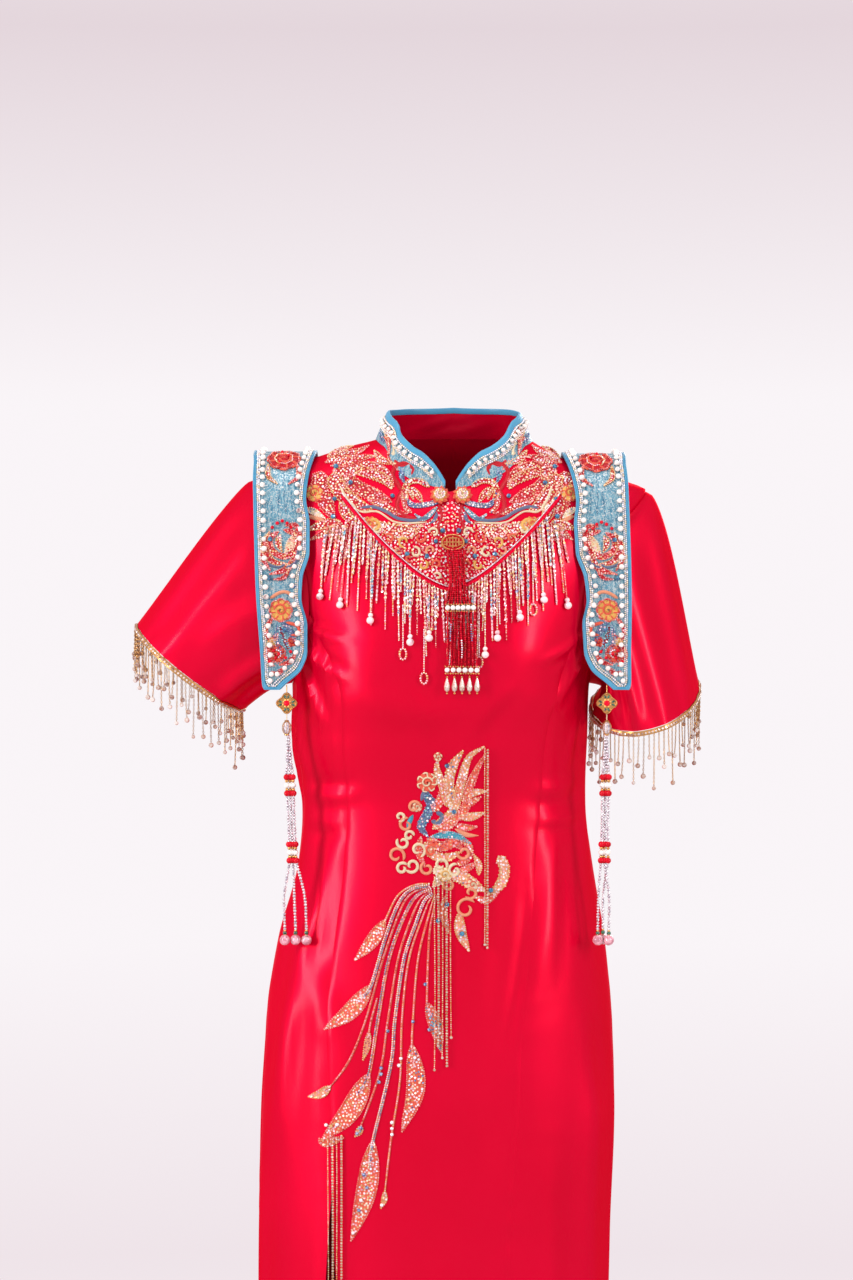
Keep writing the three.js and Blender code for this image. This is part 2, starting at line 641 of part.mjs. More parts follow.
const ROSETTE = { radius: 10.5, thick: 4.5, z: -52, lift: 4.2, rise: 0.35 };
for (const [side, x] of [["right", -15], ["left", 8]]) {
  const { radius, thick } = ROSETTE;
  const profile = [[0, 0], [radius * 0.8, 0], [radius, thick * 0.45], [radius * 0.7, thick], [0, thick]];
  const mesh = add(`neck_rosette_${side}`, turned(profile, 14), EMBROIDERY);
  mesh.position.copy(onBodice(x, ROSETTE.z - 3, ROSETTE.lift));
  mesh.lookAt(mesh.position.clone().add(new THREE.Vector3(0, -1, ROSETTE.rise)));
}

// ---------------------------------------------------------------- shoulder panels

// A stiffened brocade panel over each shoulder, from its front tip to its back end. y and z
// run along its middle; inner and outer reach from there to its neck edge and arm edge.
const PANEL = [
  { y: -82, z: -251, inner: -2, outer: 18 },
  { y: -82, z: -245, inner: 4, outer: 20 },
  { y: -82, z: -230, inner: 20, outer: 21 },
  { y: -82, z: -212, inner: 26, outer: 22 },
  { y: -82, z: -186, inner: 26, outer: 24 },
  { y: -81, z: -158, inner: 20, outer: 26 },
  { y: -80, z: -138, inner: 21, outer: 27 },
  { y: -77, z: -112, inner: 28, outer: 28 },
  { y: -72, z: -87, inner: 28, outer: 29 },
  { y: -64, z: -61, inner: 24, outer: 30 },
  { y: -51, z: -39, inner: 26, outer: 31 },
  { y: -38, z: -25, inner: 29, outer: 31 },
  { y: -22, z: -15, inner: 32, outer: 32 },
  { y: 0, z: -11, inner: 33, outer: 32 },
  { y: 24, z: -14, inner: 33, outer: 32 },
  { y: 46, z: -22, inner: 32, outer: 31 },
  { y: 64, z: -36, inner: 31, outer: 31 },
  { y: 74, z: -56, inner: 30, outer: 30 },
  { y: 77, z: -80, inner: 29, outer: 29 },
  { y: 77, z: -100, inner: 27, outer: 27 },
  { y: 77, z: -112, inner: 20, outer: 20 },
  { y: 77, z: -118, inner: 9, outer: 9 },
];
const PANEL_SIDES = {
  right: { sign: -1, middle: -175, lean: 0, rise: 6 },
  left: { sign: 1, middle: 144, lean: 6, rise: 4 },
};
const PANEL_THICK = 2.4;
const PANEL_BINDING = { wide: 4.5, thick: 3, gap: 0.3 };
const PANEL_ACROSS = 4;

const run = PANEL.reduce((sum, row, i) => {
  const last = PANEL[i - 1];
  return [...sum, last ? sum[i - 1] + Math.hypot(row.y - last.y, row.z - last.z) : 0];
}, []);
const alongPanel = PANEL.map((row, i) => ({ ...row, run: run[i] }));
const panelLine = Object.fromEntries(["y", "z"].map((name) => [name, column(alongPanel, "run", name)]));
const panelLength = run[run.length - 1];

// A panel's rows of points, with all its edges drawn in.
function panelGrid({ sign, middle, lean, rise }, drawnIn, across) {
  return alongPanel.map((row) => {
    const at = lerp(drawnIn, panelLength - drawnIn, row.run / panelLength);
    const [y, z] = [panelLine.y(at), panelLine.z(at)];
    const shift = (lean * Math.max(0, -z)) / 100;
    return Array.from({ length: across + 1 }, (_, i) => {
      const off = lerp(-row.inner + drawnIn, row.outer - drawnIn, i / across);
      return new THREE.Vector3(middle + sign * (off + shift), y, z + rise * smooth(-150, -40, z));
    });
  });
}
function aroundGrid(grid) {
  const last = grid[0].length - 1;
  const end = grid.length - 1;
  const inner = grid.map((row) => row[0]);
  const outer = grid.map((row) => row[last]);
  return [...inner.slice(0, -1), ...grid[end].slice(0, -1), ...outer.slice(1).reverse(), ...grid[0].slice(1).reverse()];
}

for (const [side, spec] of Object.entries(PANEL_SIDES)) {
  const { wide, thick, gap } = PANEL_BINDING;
  const cloth = panelGrid(spec, wide + gap, PANEL_ACROSS);
  const clothNormals = gridNormals(cloth);
  const faces = [PANEL_THICK / 2, -PANEL_THICK / 2].map((by) => offsetGrid(cloth, clothNormals, by));
  add(`shoulder_panel_${side}`, wall(...faces), BLUE_BROCADE);
  const loops = [0, wide].map((drawnIn) => {
    const grid = panelGrid(spec, drawnIn, PANEL_ACROSS);
    return { points: aroundGrid(grid), normals: aroundGrid(gridNormals(grid)) };
  });
  const rims = [thick / 2, -thick / 2].map((by) =>
    loops.map(({ points, normals }) => points.map((p, i) => p.clone().addScaledVector(normals[i], by))),
  );
  add(`shoulder_binding_${side}`, wall(...rims, true), BLUE_SATIN);
}

// ---------------------------------------------------------------- shoulder tassels

// Heights are measured down from the middle of the medallion.
const MEDALLION = { radius: 11, lobe: 0.12, thick: 3, z: -264, in: 5 };
const THREAD = { radius: 0.6, long: 8.2 };
const LANTERN = { middle: 25, radius: 4.7, half: 7 };
const STRANDS = [
  { down: 33.6, wide: 3, deep: 3 },
  { down: 72, wide: 7, deep: 4.5 },
  { down: 92, wide: 8.5, deep: 5 },
  { down: 142, wide: 8, deep: 5 },
  { down: 160, wide: 9, deep: 5.5 },
  { down: 229, wide: 9, deep: 6 },
];
const BALL = { radius: 5.3, bead: 2.8, down: 229.4, drop: 5 };
const TASSEL_SIDES = {
  right: { drift: 9, ends: [[-10.8, 0], [0, 1], [11, 0]] },
  left: { drift: -3.5, ends: [[-5.8, -1], [5.4, -2], [0, 8.6]] },
};

// An upright solid with oval level sections.
function ovalColumn(sections, segments = 10) {
  const rows = sections.map(({ x, z, wide, deep }) =>
    Array.from({ length: segments }, (_, i) => {
      const a = (i / segments) * 2 * Math.PI;
      return new THREE.Vector3(x + wide * Math.cos(a), deep * Math.sin(a), z);
    }),
  );
  const points = rows.flat();
  const index = [];
  const last = (sections.length - 1) * segments;
  for (let i = 0; i < segments; i++) {
    const j = (i + 1) % segments;
    for (let row = 0; row < last; row += segments)
      index.push(row + i, row + segments + j, row + j, row + i, row + segments + i, row + segments + j);
    if (i > 0 && j > 0) index.push(0, i, j, last, last + j, last + i);
  }
  return new THREE.BufferGeometry().setFromPoints(points).setIndex(index);
}

function quatrefoil({ radius, lobe, thick }) {
  const shape = new THREE.Shape(
    steps(0, 2 * Math.PI, 24).map((a) => {
      const r = radius * (1 - lobe + lobe * Math.cos(4 * a));
      return new THREE.Vector2(r * Math.cos(a), r * Math.sin(a));
    }),
  );
  const plate = { depth: thick, bevelEnabled: false };
  return new THREE.ExtrudeGeometry(shape, plate).translate(0, 0, -thick / 2).rotateX(Math.PI / 2);
}

for (const [side, { drift, ends }] of Object.entries(TASSEL_SIDES)) {
  const { sign, middle, lean } = PANEL_SIDES[side];
  const tassel = new THREE.Group();
  const x = middle + sign * ((lean * -PANEL[0].z) / 100 - MEDALLION.in);
  tassel.position.set(x, PANEL[0].y, MEDALLION.z);
  dress.add(tassel);

  const thread = new THREE.CylinderGeometry(THREAD.radius, THREAD.radius, THREAD.long, 6)
    .rotateX(Math.PI / 2)
    .translate(0, 0, MEDALLION.radius - 1 + THREAD.long / 2);
  add(`medallion_${side}`, joined(quatrefoil(MEDALLION), thread), GOLD, tassel);

  const { middle: down, radius, half } = LANTERN;
  const top = [[THREAD.radius, -MEDALLION.radius - 0.4], [THREAD.radius, half + 1 - down], [2, half + 1 - down]];
  const bulge = [0.45, 0.9, 1.35, 1.8, 2.25, 2.7].map((a) => [
    radius * Math.sin(a),
    half * Math.cos(a) - down,
  ]);
  const foot = [[2, -half - 1 - down], [0, -half - 1 - down]];
  const profile = [[0, top[0][1]], ...top, ...bulge, ...foot].reverse();
  add(`lantern_${side}`, turned(profile, 8), CRYSTAL, tassel);

  const last = STRANDS[STRANDS.length - 1].down;
  const sections = STRANDS.map(({ down: z, wide, deep }) => ({ x: (drift * z) / last, z: -z, wide, deep }));
  const [low] = sections.slice(-1);
  low.wide = Math.max(...ends.map(([off]) => Math.abs(off))) + 1.5;
  low.deep = Math.max(...ends.map(([, deep]) => Math.abs(deep))) + 2;
  add(`strands_${side}`, ovalColumn(sections), CRYSTAL, tassel);

  ends.forEach(([off, deep], i) => {
    const { radius: r, bead, down: from, drop } = BALL;
    const ball = [0.5, 1.05, 1.6, 2.15, 2.7].map((a) => [r * Math.sin(a), r * Math.cos(a) - drop - r]);
    const rings = [[0, 0], [bead * 0.7, 0], [bead, -2], [bead * 0.7, -4], ...ball, [0, -drop - 2 * r]];
    const mesh = add(`end_ball_${side}_${i + 1}`, turned(rings.reverse(), 8), PEARL, tassel);
    mesh.position.set(drift + off, deep, -from);
  });
}

// ---------------------------------------------------------------- centre tassel

// The tassel lies over the yoke and its fringe. Each piece is a slab between two heights, with
// its middle and half width at the top and at the bottom.
const TASSEL_LIFT = 3.8;
const TASSEL_PIECES = [
  { name: "upper", top: -112.6, bottom: -164.6, x: [1, 3], half: [9, 14], thick: 5.5, finish: RED_BEADS },
  { name: "pearls_upper", top: -165, bottom: -174.4, x: [5, 6], half: [15, 16], thick: 6, finish: PEARL },
  { name: "lower", top: -174.8, bottom: -224.6, x: [6, 7], half: [16, 18], thick: 5, finish: RED_BEADS },
  { name: "pearls_lower", top: -225, bottom: -234.4, x: [7, 7], half: [18, 18], thick: 6, finish: PEARL },
];
const PLAQUE = { x: -2, z: -103, wide: 12, tall: 9, thick: 2.6, lift: 1.9 };
const DROPS = { count: 5, from: -8, to: 22, top: -234.8, long: 18, wide: 5.8, thick: 5 };

const oval = (x, z, wide, tall) => new THREE.Shape().absellipse(x, z, wide, tall, 0, 2 * Math.PI);
const plaque = [oval(PLAQUE.x, PLAQUE.z, PLAQUE.wide, PLAQUE.tall)];
add("tassel_plaque", laid(bodiceFace, CLOTH + PLAQUE.lift, PLAQUE.thick, plaque), GOLD);
for (const { name, top, bottom, x, half, thick, finish: material } of TASSEL_PIECES) {
  const sides = [[x[0] - half[0], top], [x[0] + half[0], top], [x[1] + half[1], bottom], [x[1] - half[1], bottom]];
  add(`tassel_${name}`, laid(bodiceFace, CLOTH + TASSEL_LIFT, thick, [outline(sides)]), material);
}
for (let i = 0; i < DROPS.count; i++) {
  const x = lerp(DROPS.from, DROPS.to, i / (DROPS.count - 1));
  const { top, long, wide, thick } = DROPS;
  const drop = [[x - 1, top], [x + 1, top], [x + wide / 2, top - long * 0.6], [x, top - long], [x - wide / 2, top - long * 0.6]];
  add(`tassel_drop_${i + 1}`, laid(bodiceFace, CLOTH + TASSEL_LIFT, thick, [outline(drop)]), CRYSTAL);
}

// ---------------------------------------------------------------- phoenix spray

// The embroidered phoenix: its outlines in x and z on the front of the skirt.
const PHOENIX = { lift: 0.35, thick: 1.2, hub: [-23, -437], stem: 5 };
// Tail feathers, each a stem from the hub that bends down to a leaf.
const TAIL = [
  { aside: -76, down: 84, leaf: 50, wide: 15 },
  { aside: -106, down: 152, leaf: 66, wide: 17 },
  { aside: -118, down: 222, leaf: 24, wide: 9 },
  { aside: -112, down: 268, leaf: 86, wide: 18 },
  { aside: -76, down: 256, leaf: 22, wide: 9 },
  { aside: -80, down: 364, leaf: 100, wide: 20 },
  { aside: -50, down: 324, leaf: 22, wide: 9 },
  { aside: -29, down: 254, leaf: 86, wide: 17 },
  { aside: 10, down: 176, leaf: 50, wide: 14 },
];
const BREAST = [
  { x: -61, z: -418, wide: 17, tall: 15 },
  { x: -23, z: -437, wide: 18, tall: 24 },
  { x: -26, z: -344, wide: 10, tall: 10 },
  { x: -28, z: -370, wide: 12, tall: 18 },
  { x: 0, z: -402, wide: 28, tall: 8 },
  { x: 12, z: -446, wide: 22, tall: 13 },
  { x: 10, z: -476, wide: 9, tall: 22 },
];
const NECK = { from: [-28, -370], bend: [-38, -396], to: [-24, -430], wide: 18 };
const SCROLL = { from: [-60, -420], bend: [-44, -440], to: [-24, -440], wide: 8 };

// A band of even width along a curve through its start, bend and end.
function band(from, bend, to, wide) {
  const points = [from, bend, to].map(([x, z]) => new THREE.Vector2(x, z));
  const curve = new THREE.QuadraticBezierCurve(...points);
  const line = steps(0, 1, 4).concat(1);
  const edge = (side) =>
    line.map((t) => {
      const { x, y } = curve.getTangent(t);
      return curve.getPoint(t).add(new THREE.Vector2(-y, x).multiplyScalar((side * wide) / 2));
    });
  return new THREE.Shape([...edge(-1), ...edge(1).reverse()]);
}
// A leaf, pointed at both ends.
function leaf(from, to, wide) {
  const middle = new THREE.Vector2((from[0] + to[0]) / 2, (from[1] + to[1]) / 2);
  const side = new THREE.Vector2(from[1] - to[1], to[0] - from[0]).setLength(wide);
  const bulge = [middle.clone().add(side), middle.clone().sub(side)];
  return new THREE.Shape()
    .moveTo(...from)
    .quadraticCurveTo(bulge[0].x, bulge[0].y, ...to)
    .quadraticCurveTo(bulge[1].x, bulge[1].y, ...from);
}

const bands = [NECK, SCROLL].map(({ from, bend, to, wide }) => band(from, bend, to, wide));
const spray = [...bands, ...BREAST.map(({ x, z, wide, tall }) => oval(x, z, wide, tall))];
const [hubX, hubZ] = PHOENIX.hub;
for (const { aside, down, leaf: long, wide } of TAIL) {
  const tip = [hubX + aside, hubZ - down];
  const lean = 0.3 * Math.sign(aside) + (0.5 * aside) / down;
  const size = Math.hypot(lean, 1);
  const root = [tip[0] - (long * lean) / size, tip[1] + long / size];
  spray.push(leaf(root, tip, wide));
  const into = [root[0] + (4 * lean) / size, root[1] - 4 / size];
  spray.push(band([hubX, hubZ - 10], [root[0] - 0.2 * aside, (hubZ + 3 * root[1]) / 4], into, PHOENIX.stem));
}
spray.push(leaf([20, -455], [50, -418], 15));
spray.push(band([-24, -384], [6, -370], [10, -312], 5));
spray.push(band([-26, -386], [22, -372], [28, -312], 5));
spray.push(oval(10, -311, 5, 5), oval(29, -311, 5, 5));
add("phoenix", laid(skirtFace, CLOTH + PHOENIX.lift, PHOENIX.thick, spray), EMBROIDERY);

// Gold chains that hang from the phoenix, each group as one slab of its reach.
const CHAINS = { lift: 1.9, thick: 1.6 };
const CHAIN_GROUPS = [
  { name: "right", x: 31, half: 3, top: -308, bottom: -509 },
  { name: "centre", x: -12, half: 9, top: -440, bottom: -622 },
  { name: "lower", x: -121, half: 9, top: -690, bottom: -980 },
];
for (const { name, x, half, top, bottom } of CHAIN_GROUPS) {
  const sides = [[x - half, top], [x + half, top], [x + half, bottom], [x - half, bottom]];
  add(`chains_${name}`, laid(skirtFace, CLOTH + CHAINS.lift, CHAINS.thick, [outline(sides)]), GOLD);
}

export default dress;
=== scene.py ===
"""A worn wedding dress in the qipao cut, standing hollow in its wearer's pose: red satin with
princess seams, short flared sleeves, a blue stand collar, beaded shoulder panels, an embroidered
yoke with bead fringe, a centre tassel and a phoenix spray on the skirt. Sizes are in millimetres
and the meshes in metres. The front faces -Y, +X is the wearer's left, the origin is at the neck."""

import math

import bpy
import numpy as np
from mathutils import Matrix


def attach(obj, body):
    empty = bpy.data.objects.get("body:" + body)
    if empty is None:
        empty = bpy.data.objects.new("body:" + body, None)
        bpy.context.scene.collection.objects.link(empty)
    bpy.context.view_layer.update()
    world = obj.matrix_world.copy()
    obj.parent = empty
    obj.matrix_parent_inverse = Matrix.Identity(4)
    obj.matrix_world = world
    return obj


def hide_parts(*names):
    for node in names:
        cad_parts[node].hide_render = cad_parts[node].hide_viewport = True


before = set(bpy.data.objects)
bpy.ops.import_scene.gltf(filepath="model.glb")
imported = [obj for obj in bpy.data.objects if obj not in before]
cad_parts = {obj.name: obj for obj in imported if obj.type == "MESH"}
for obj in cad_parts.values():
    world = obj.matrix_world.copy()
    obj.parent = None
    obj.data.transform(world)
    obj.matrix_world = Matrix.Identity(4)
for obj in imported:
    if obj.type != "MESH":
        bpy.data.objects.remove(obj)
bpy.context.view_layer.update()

# ---------------- red satin body
# Duchess satin, cut as a centre front, two side fronts and two backs, with pressed-open seams.
# The wearer's right princess seam is left open below the hip as a slit.
MM = 0.001
CLOTH = 1.6  # satin with its backing
SEAM = 0.004  # each piece stops this far short of a seam
HEM = -1340.0


def smooth(low, high, value):
    t = np.clip((value - low) / (high - low), 0, 1)
    return t * t * (3 - 2 * t)


def unit(v):
    return v / np.linalg.norm(v, axis=-1, keepdims=True)


def curve(points):
    """A smooth curve through points that overshoots none of them."""
    x, y = np.array(sorted(points), float).T
    step = np.diff(x)
    slope = np.diff(y) / step
    both = slope[:-1] * slope[1:]
    total = np.where(both > 0, slope[:-1] + slope[1:], 1)
    inner = np.where(both > 0, 2 * both / total, 0)
    tangent = np.concatenate([slope[:1], inner, slope[-1:]])

    def at(value):
        v = np.clip(value, x[0], x[-1])
        i = np.clip(np.searchsorted(x, v, side="right") - 1, 0, len(step) - 1)
        t = (v - x[i]) / step[i]
        from_low = (2 * t**3 - 3 * t**2 + 1) * y[i] + (t**3 - 2 * t**2 + t) * step[i] * tangent[i]
        return from_low + (3 * t**2 - 2 * t**3) * y[i + 1] + (t**3 - t**2) * step[i] * tangent[i + 1]

    return at


def curves(names, rows):
    """A curve for each column of a table, by its first column."""
    return {name: curve([(row[0], row[i]) for row in rows]) for i, name in enumerate(names, 1)}


# Level sections: middle, half width, depth before and behind the side seams, and how many
# degrees the front has turned to the wearer's left.
body = curves(("mid", "half", "front", "back", "turn"), [
    (14, 0, 64, 40, 48, 0), (6, 0, 80, 44, 52, 0), (-7, 0, 111, 49, 58, 0), (-17.5, -1, 141, 53, 64, 0),
    (-30, -2, 178, 57, 70, 0), (-40, -4, 203, 61, 76, 0), (-80, -5, 192, 84, 88, 0),
    (-140, -8, 172, 106, 98, 0), (-215, -12, 158, 120, 100, 3), (-250, -14, 152, 120, 97, 4),
    (-300, -15, 150, 111, 90, 2), (-370, -11, 145, 98, 82, 0), (-430, -9, 151, 100, 92, -3),
    (-510, -13, 168, 108, 112, -4), (-600, -16, 179, 114, 121, -5), (-690, -18, 183, 116, 118, -4),
    (-810, -22, 181, 115, 112, -4), (HEM, -26, 173, 114, 110, -4),
])
SQUARE = 0.045  # how far the sections swell between front and side
DROP = {"by": 6, "from": 70, "to": 115}  # the wearer's left shoulder stands lower
BUST = {"reach": 9, "apart": 76, "z": -212, "wide": 50, "tall": 60}
# The largest folds: where each crosses its middle, its top and bottom, depth, width in
# degrees and drift in degrees for each 100 mm up.
FOLDS = [
    (-64, -240, -560, 5, 9, 1), (-52, -500, -760, 4, 7, 9), (-80, -560, -1300, -5, 7, 0),
    (66, -620, -1340, 5, 8, -1), (24, -440, -760, -3, 6, 1), (74, -230, -470, 3, 8, 2),
    (128, -480, -1300, 5, 10, 0), (-136, -420, -1300, 5, 10, -1), (150, -270, -480, -3, 9, 4),
]
FOLD_FADE = 80  # how long a fold's ends take to fade out


def fold_height(angle, z):
    total = 0.0
    for middle, top, bottom, depth, wide, slant in FOLDS:
        off = (angle - middle - slant * (z - (top + bottom) / 2) / 100) / wide
        foot = 1 if bottom < HEM + FOLD_FADE else smooth(bottom, bottom + FOLD_FADE, z)
        total = total + depth * np.exp(-off * off) * foot * (1 - smooth(top - FOLD_FADE, top, z))
    return total


def form(angle, z):
    """Points of the hollow form. The angle grows from the front, 0, by the wearer's left."""
    a = np.radians(angle + body["turn"](z))
    swell = 1 + SQUARE * np.sin(2 * a) ** 2
    fold = fold_height(angle, z)
    ahead = np.cos(a) > 0
    side = (body["half"](z) * swell + fold) * np.sin(a)
    y = -(np.where(ahead, body["front"](z), body["back"](z)) * swell + fold) * np.cos(a)
    for x in (-BUST["apart"], BUST["apart"]):
        near = ((side - x) / BUST["wide"]) ** 2 + ((z - BUST["z"]) / BUST["tall"]) ** 2
        y = y - np.where(ahead, BUST["reach"] * np.exp(-near), 0)
    drop = DROP["by"] * np.sign(side) * smooth(DROP["from"], DROP["to"], np.abs(side))
    return np.stack([body["mid"](z) + side, y, z - drop * smooth(-200, -60, z)], -1)


def outward(angle, z):
    """The way that the form faces."""
    across = form(angle + 0.5, z) - form(angle - 0.5, z)
    up = form(angle, z + 1) - form(angle, z - 1)
    return unit(np.cross(across, up))


# The smaller creases: the angles and heights of a line's start, bend and end, its width and its
# height. Each has a shallow trough along one side.
ARC = 2.6  # millimetres round the body for each degree
CREASES = [
    (-66, -172, -54, -194, -36, -200, 5, 4.1), (-67, -186, -56, -220, -40, -240, 6, 4.8),
    (-69, -204, -60, -250, -50, -288, 6, 4.4), (-73, -228, -69, -290, -61, -345, 7, 3.7),
    (-84, -252, -82, -310, -74, -380, 8, 3.4), (62, -180, 48, -208, 34, -222, 5, 3.7),
    (63, -200, 52, -238, 41, -272, 6, 3.7), (68, -226, 62, -280, 54, -330, 7, 3.1),
    (-34, -258, -10, -282, 14, -266, 13, 2.2), (-24, -236, -12, -262, -4, -304, 10, 2),
    (24, -240, 13, -266, 8, -306, 10, 2), (-72, -350, -50, -364, -32, -354, 8, 2.5),
    (66, -338, 50, -358, 35, -350, 8, 2.4), (70, -374, 54, -388, 36, -380, 7, 2),
    (-68, -392, -52, -402, -40, -396, 8, -2), (34, -450, 32, -530, 26, -625, 7, -3.4),
    (48, -400, 44, -470, 40, -560, 9, 2.4), (-46, -410, -52, -560, -50, -735, 13, 3.1),
    (-62, -470, -40, -545, -18, -650, 17, 2.2), (-8, -470, 2, -560, 6, -700, 18, 2),
    (56, -560, 60, -700, 58, -900, 12, 3.1), (-28, -690, -33, -900, -36, -1160, 16, 3.7),
    (40, -700, 46, -920, 44, -1240, 14, 4.1), (10, -770, 7, -960, 12, -1250, 18, 2.7),
    (-66, -700, -70, -900, -66, -1250, 14, 3.4), (80, -620, 84, -860, 80, -1200, 14, 3.4),
    (108, -186, 126, -214, 152, -222, 8, 3.7), (106, -214, 120, -262, 138, -300, 8, 3.4),
    (-108, -190, -128, -216, -150, -220, 8, 3.7), (-107, -220, -122, -268, -140, -298, 8, 3.1),
    (118, -340, 145, -366, 174, -356, 9, 3.1), (-116, -344, -146, -360, -172, -352, 9, 3.1),
    (170, -392, 146, -412, 118, -402, 10, 2.7), (-170, -398, -142, -420, -118, -404, 10, 2.5),
    (160, -440, 150, -480, 128, -500, 11, 2.4), (146, -540, 142, -820, 146, -1230, 16, 4.8),
    (164, -600, 167, -860, 162, -1250, 13, 3.7), (-160, -560, -156, -840, -160, -1240, 15, 4.4),
    (-112, -620, -116, -880, -110, -1220, 14, 3.7), (108, -640, 112, -900, 106, -1240, 14, 3.4),
]


def bezier(row, count):
    """A curve by the start, bend and end in a row of numbers."""
    t = np.linspace(0, 1, count)[:, None]
    start, bend, end = np.reshape(row, (3, 2))
    return (1 - t) ** 2 * start + 2 * (1 - t) * t * bend + t**2 * end


def crease_height(angle, z):
    angle, z = np.broadcast_arrays(angle, z)
    total, s = np.zeros(angle.shape), angle * ARC
    for *row, wide, high in CREASES:
        line = bezier(row, 15) * (ARC, 1)
        low, top = line.min(0) - 4 * wide, line.max(0) + 4 * wide
        near = (s > low[0]) & (s < top[0]) & (z > low[1]) & (z < top[1])
        way = np.diff(line, axis=0)
        place = np.stack([s[near], z[near]], -1)[:, None] - line[:-1]
        t = np.clip((place * way).sum(-1) / (way**2).sum(-1), 0, 1)
        gap = place - t[..., None] * way
        distance = np.linalg.norm(gap, axis=-1)
        side = np.sign(way[:, 0] * gap[..., 1] - way[:, 1] * gap[..., 0])
        share = (np.arange(len(way)) + t) / len(way)
        best = distance.argmin(1)[:, None]
        off, share = (np.take_along_axis(v, best, 1)[:, 0] for v in (distance * side / wide, share))
        crest = np.exp(-(off**2)) - 0.5 * np.exp(-((off - 1.5) ** 2))
        total[near] += high * crest * np.sin(np.pi * np.clip(share, 0.02, 0.98)) ** 0.8
    return total


def cloth(angle, z, lift=CLOTH):
    """Points of the worn cloth, lift above its inner face."""
    rise = np.asarray(lift + crease_height(angle, z))
    return form(angle, z) + outward(angle, z) * rise[..., None]


class Socket:
    """A node's output that expressions can use: each operator adds its Math node."""

    def __init__(self, graph, output):
        self.graph, self.output = graph, output

    def math(self, operation, *values):
        return self.graph.node("ShaderNodeMath", dict(enumerate(values)), operation=operation)


def operator(operation, turned):
    """What an operator does with its two sides, or with its right side first."""

    def run(self, other):
        return self.math(operation, *((other, self) if turned else (self, other)))

    return run


for name, operation in {"add": "ADD", "sub": "SUBTRACT", "mul": "MULTIPLY", "truediv": "DIVIDE"}.items():
    setattr(Socket, f"__{name}__", operator(operation, False))
    setattr(Socket, f"__r{name}__", operator(operation, True))


class Graph:
    """A node tree, with one way to add a node to it."""

    def __init__(self, tree):
        self.tree = tree

    def node(self, kind, numbered=None, out=0, **named):
        """Adds a node and gives one of its outputs. A name in lower case is a setting, and any
        other name or a number is an input."""
        made = self.tree.nodes.new(kind)
        for name in filter(str.islower, named):
            setattr(made, name, named[name])
        inputs = {name: value for name, value in named.items() if not name.islower()}
        self.feed(made.inputs, inputs | (numbered or {}))
        return Socket(self, made.outputs[out])

    def feed(self, inputs, values):
        """Links or sets inputs by number or name, whose spaces are written as underscores."""
        for key, value in values.items():
            socket = inputs[key.replace("_", " ") if isinstance(key, str) else key]
            if isinstance(value, Socket):
                self.tree.links.new(value.output, socket)
            else:
                socket.default_value = value

    def ramp(self, value, stops, held=False):
        made = self.node("ShaderNodeValToRGB", Fac=value)
        ramp = made.output.node.color_ramp
        ramp.interpolation = "CONSTANT" if held else "LINEAR"
        while len(ramp.elements) < len(stops):
            ramp.elements.new(0.5)
        for element, (place, colour) in zip(ramp.elements, stops):
            element.position = place
            element.color = (*colour, 1)
        return made


# How much darker a cloth, or a trimming, is than it looks in the studio.
STUDIO, TRIMMINGS = 0.58, 0.8


def rgb(red, green, blue, share=STUDIO):
    """A colour as it looks on a screen in the studio, 0 to 255, as the shader's own."""
    shares = [v / 255 for v in (red, green, blue)]
    return tuple(share * (v / 12.92 if v <= 0.04045 else ((v + 0.055) / 1.055) ** 2.4) for v in shares)


class Finish(Graph):
    """The material of one finish, from its Principled shader outwards."""

    def __init__(self, name, **constants):
        self.material = bpy.data.materials.new(name)
        self.material.use_nodes = True
        super().__init__(self.material.node_tree)
        self.shader = self.tree.nodes["Principled BSDF"]
        self.show(**constants)

    def show(self, **values):
        self.feed(self.shader.inputs, values)

    def place(self, kind="Object", scale=(1, 1, 1), turn=(0, 0, 0)):
        """Where a point of the piece is, in metres or on its UV map, scaled and turned."""
        where = self.node("ShaderNodeTexCoord", out=kind)
        return self.node("ShaderNodeMapping", Vector=where, Scale=scale, Rotation=turn)

    def noise(self, where, scale, detail=2, rough=0.5):
        values = {"Vector": where, "Scale": scale, "Detail": detail, "Roughness": rough}
        return self.node("ShaderNodeTexNoise", values, "Fac")

    def attribute(self, name):
        return self.node("ShaderNodeAttribute", out="Fac", attribute_name=name)

    def mix(self, share, first, second, blend="MIX"):
        first, second = (c if isinstance(c, Socket) else (*c, 1) for c in (first, second))
        settings = {"data_type": "RGBA", "blend_type": blend, "clamp_factor": True}
        return self.node("ShaderNodeMix", {0: share, 6: first, 7: second}, 2, **settings)

    def shape(self, height, distance, strength=1.0):
        """Bump of a height from 0 to 1 over a distance in millimetres."""
        values = {"Height": height, "Distance": distance * MM, "Strength": strength}
        self.show(Normal=self.node("ShaderNodeBump", values))


def red_satin():
    """Heavy satin: a deep red with a broad red gloss, a fine slant rib and slight wrinkles."""
    satin = Finish(
        "red satin", Metallic=0.45, Specular_IOR_Level=0, Specular_Tint=(1, 0.2, 0.25, 1),
        Coat_Weight=0.015, Coat_IOR=4, Coat_Roughness=0.2,
    )
    wide = satin.noise(satin.place(), 7, 3)
    small = satin.noise(satin.place(scale=(1, 1, 0.45)), 38, 4, 0.6)
    rib = satin.noise(satin.place(scale=(900, 900, 2600), turn=(0, 0.6, 0)), 1, 2)
    satin.show(
        Base_Color=satin.mix(wide * 0.75 + rib * 0.25, rgb(230, 0, 42, 0.66), rgb(254, 0, 60, 0.66)),
        Roughness=0.28 + wide * 0.1 + rib * 0.08,
    )
    satin.shape(small * 0.92 + rib * 0.08, 0.6, 0.6)
    return satin.material


RED_SATIN = red_satin(), "red_satin"


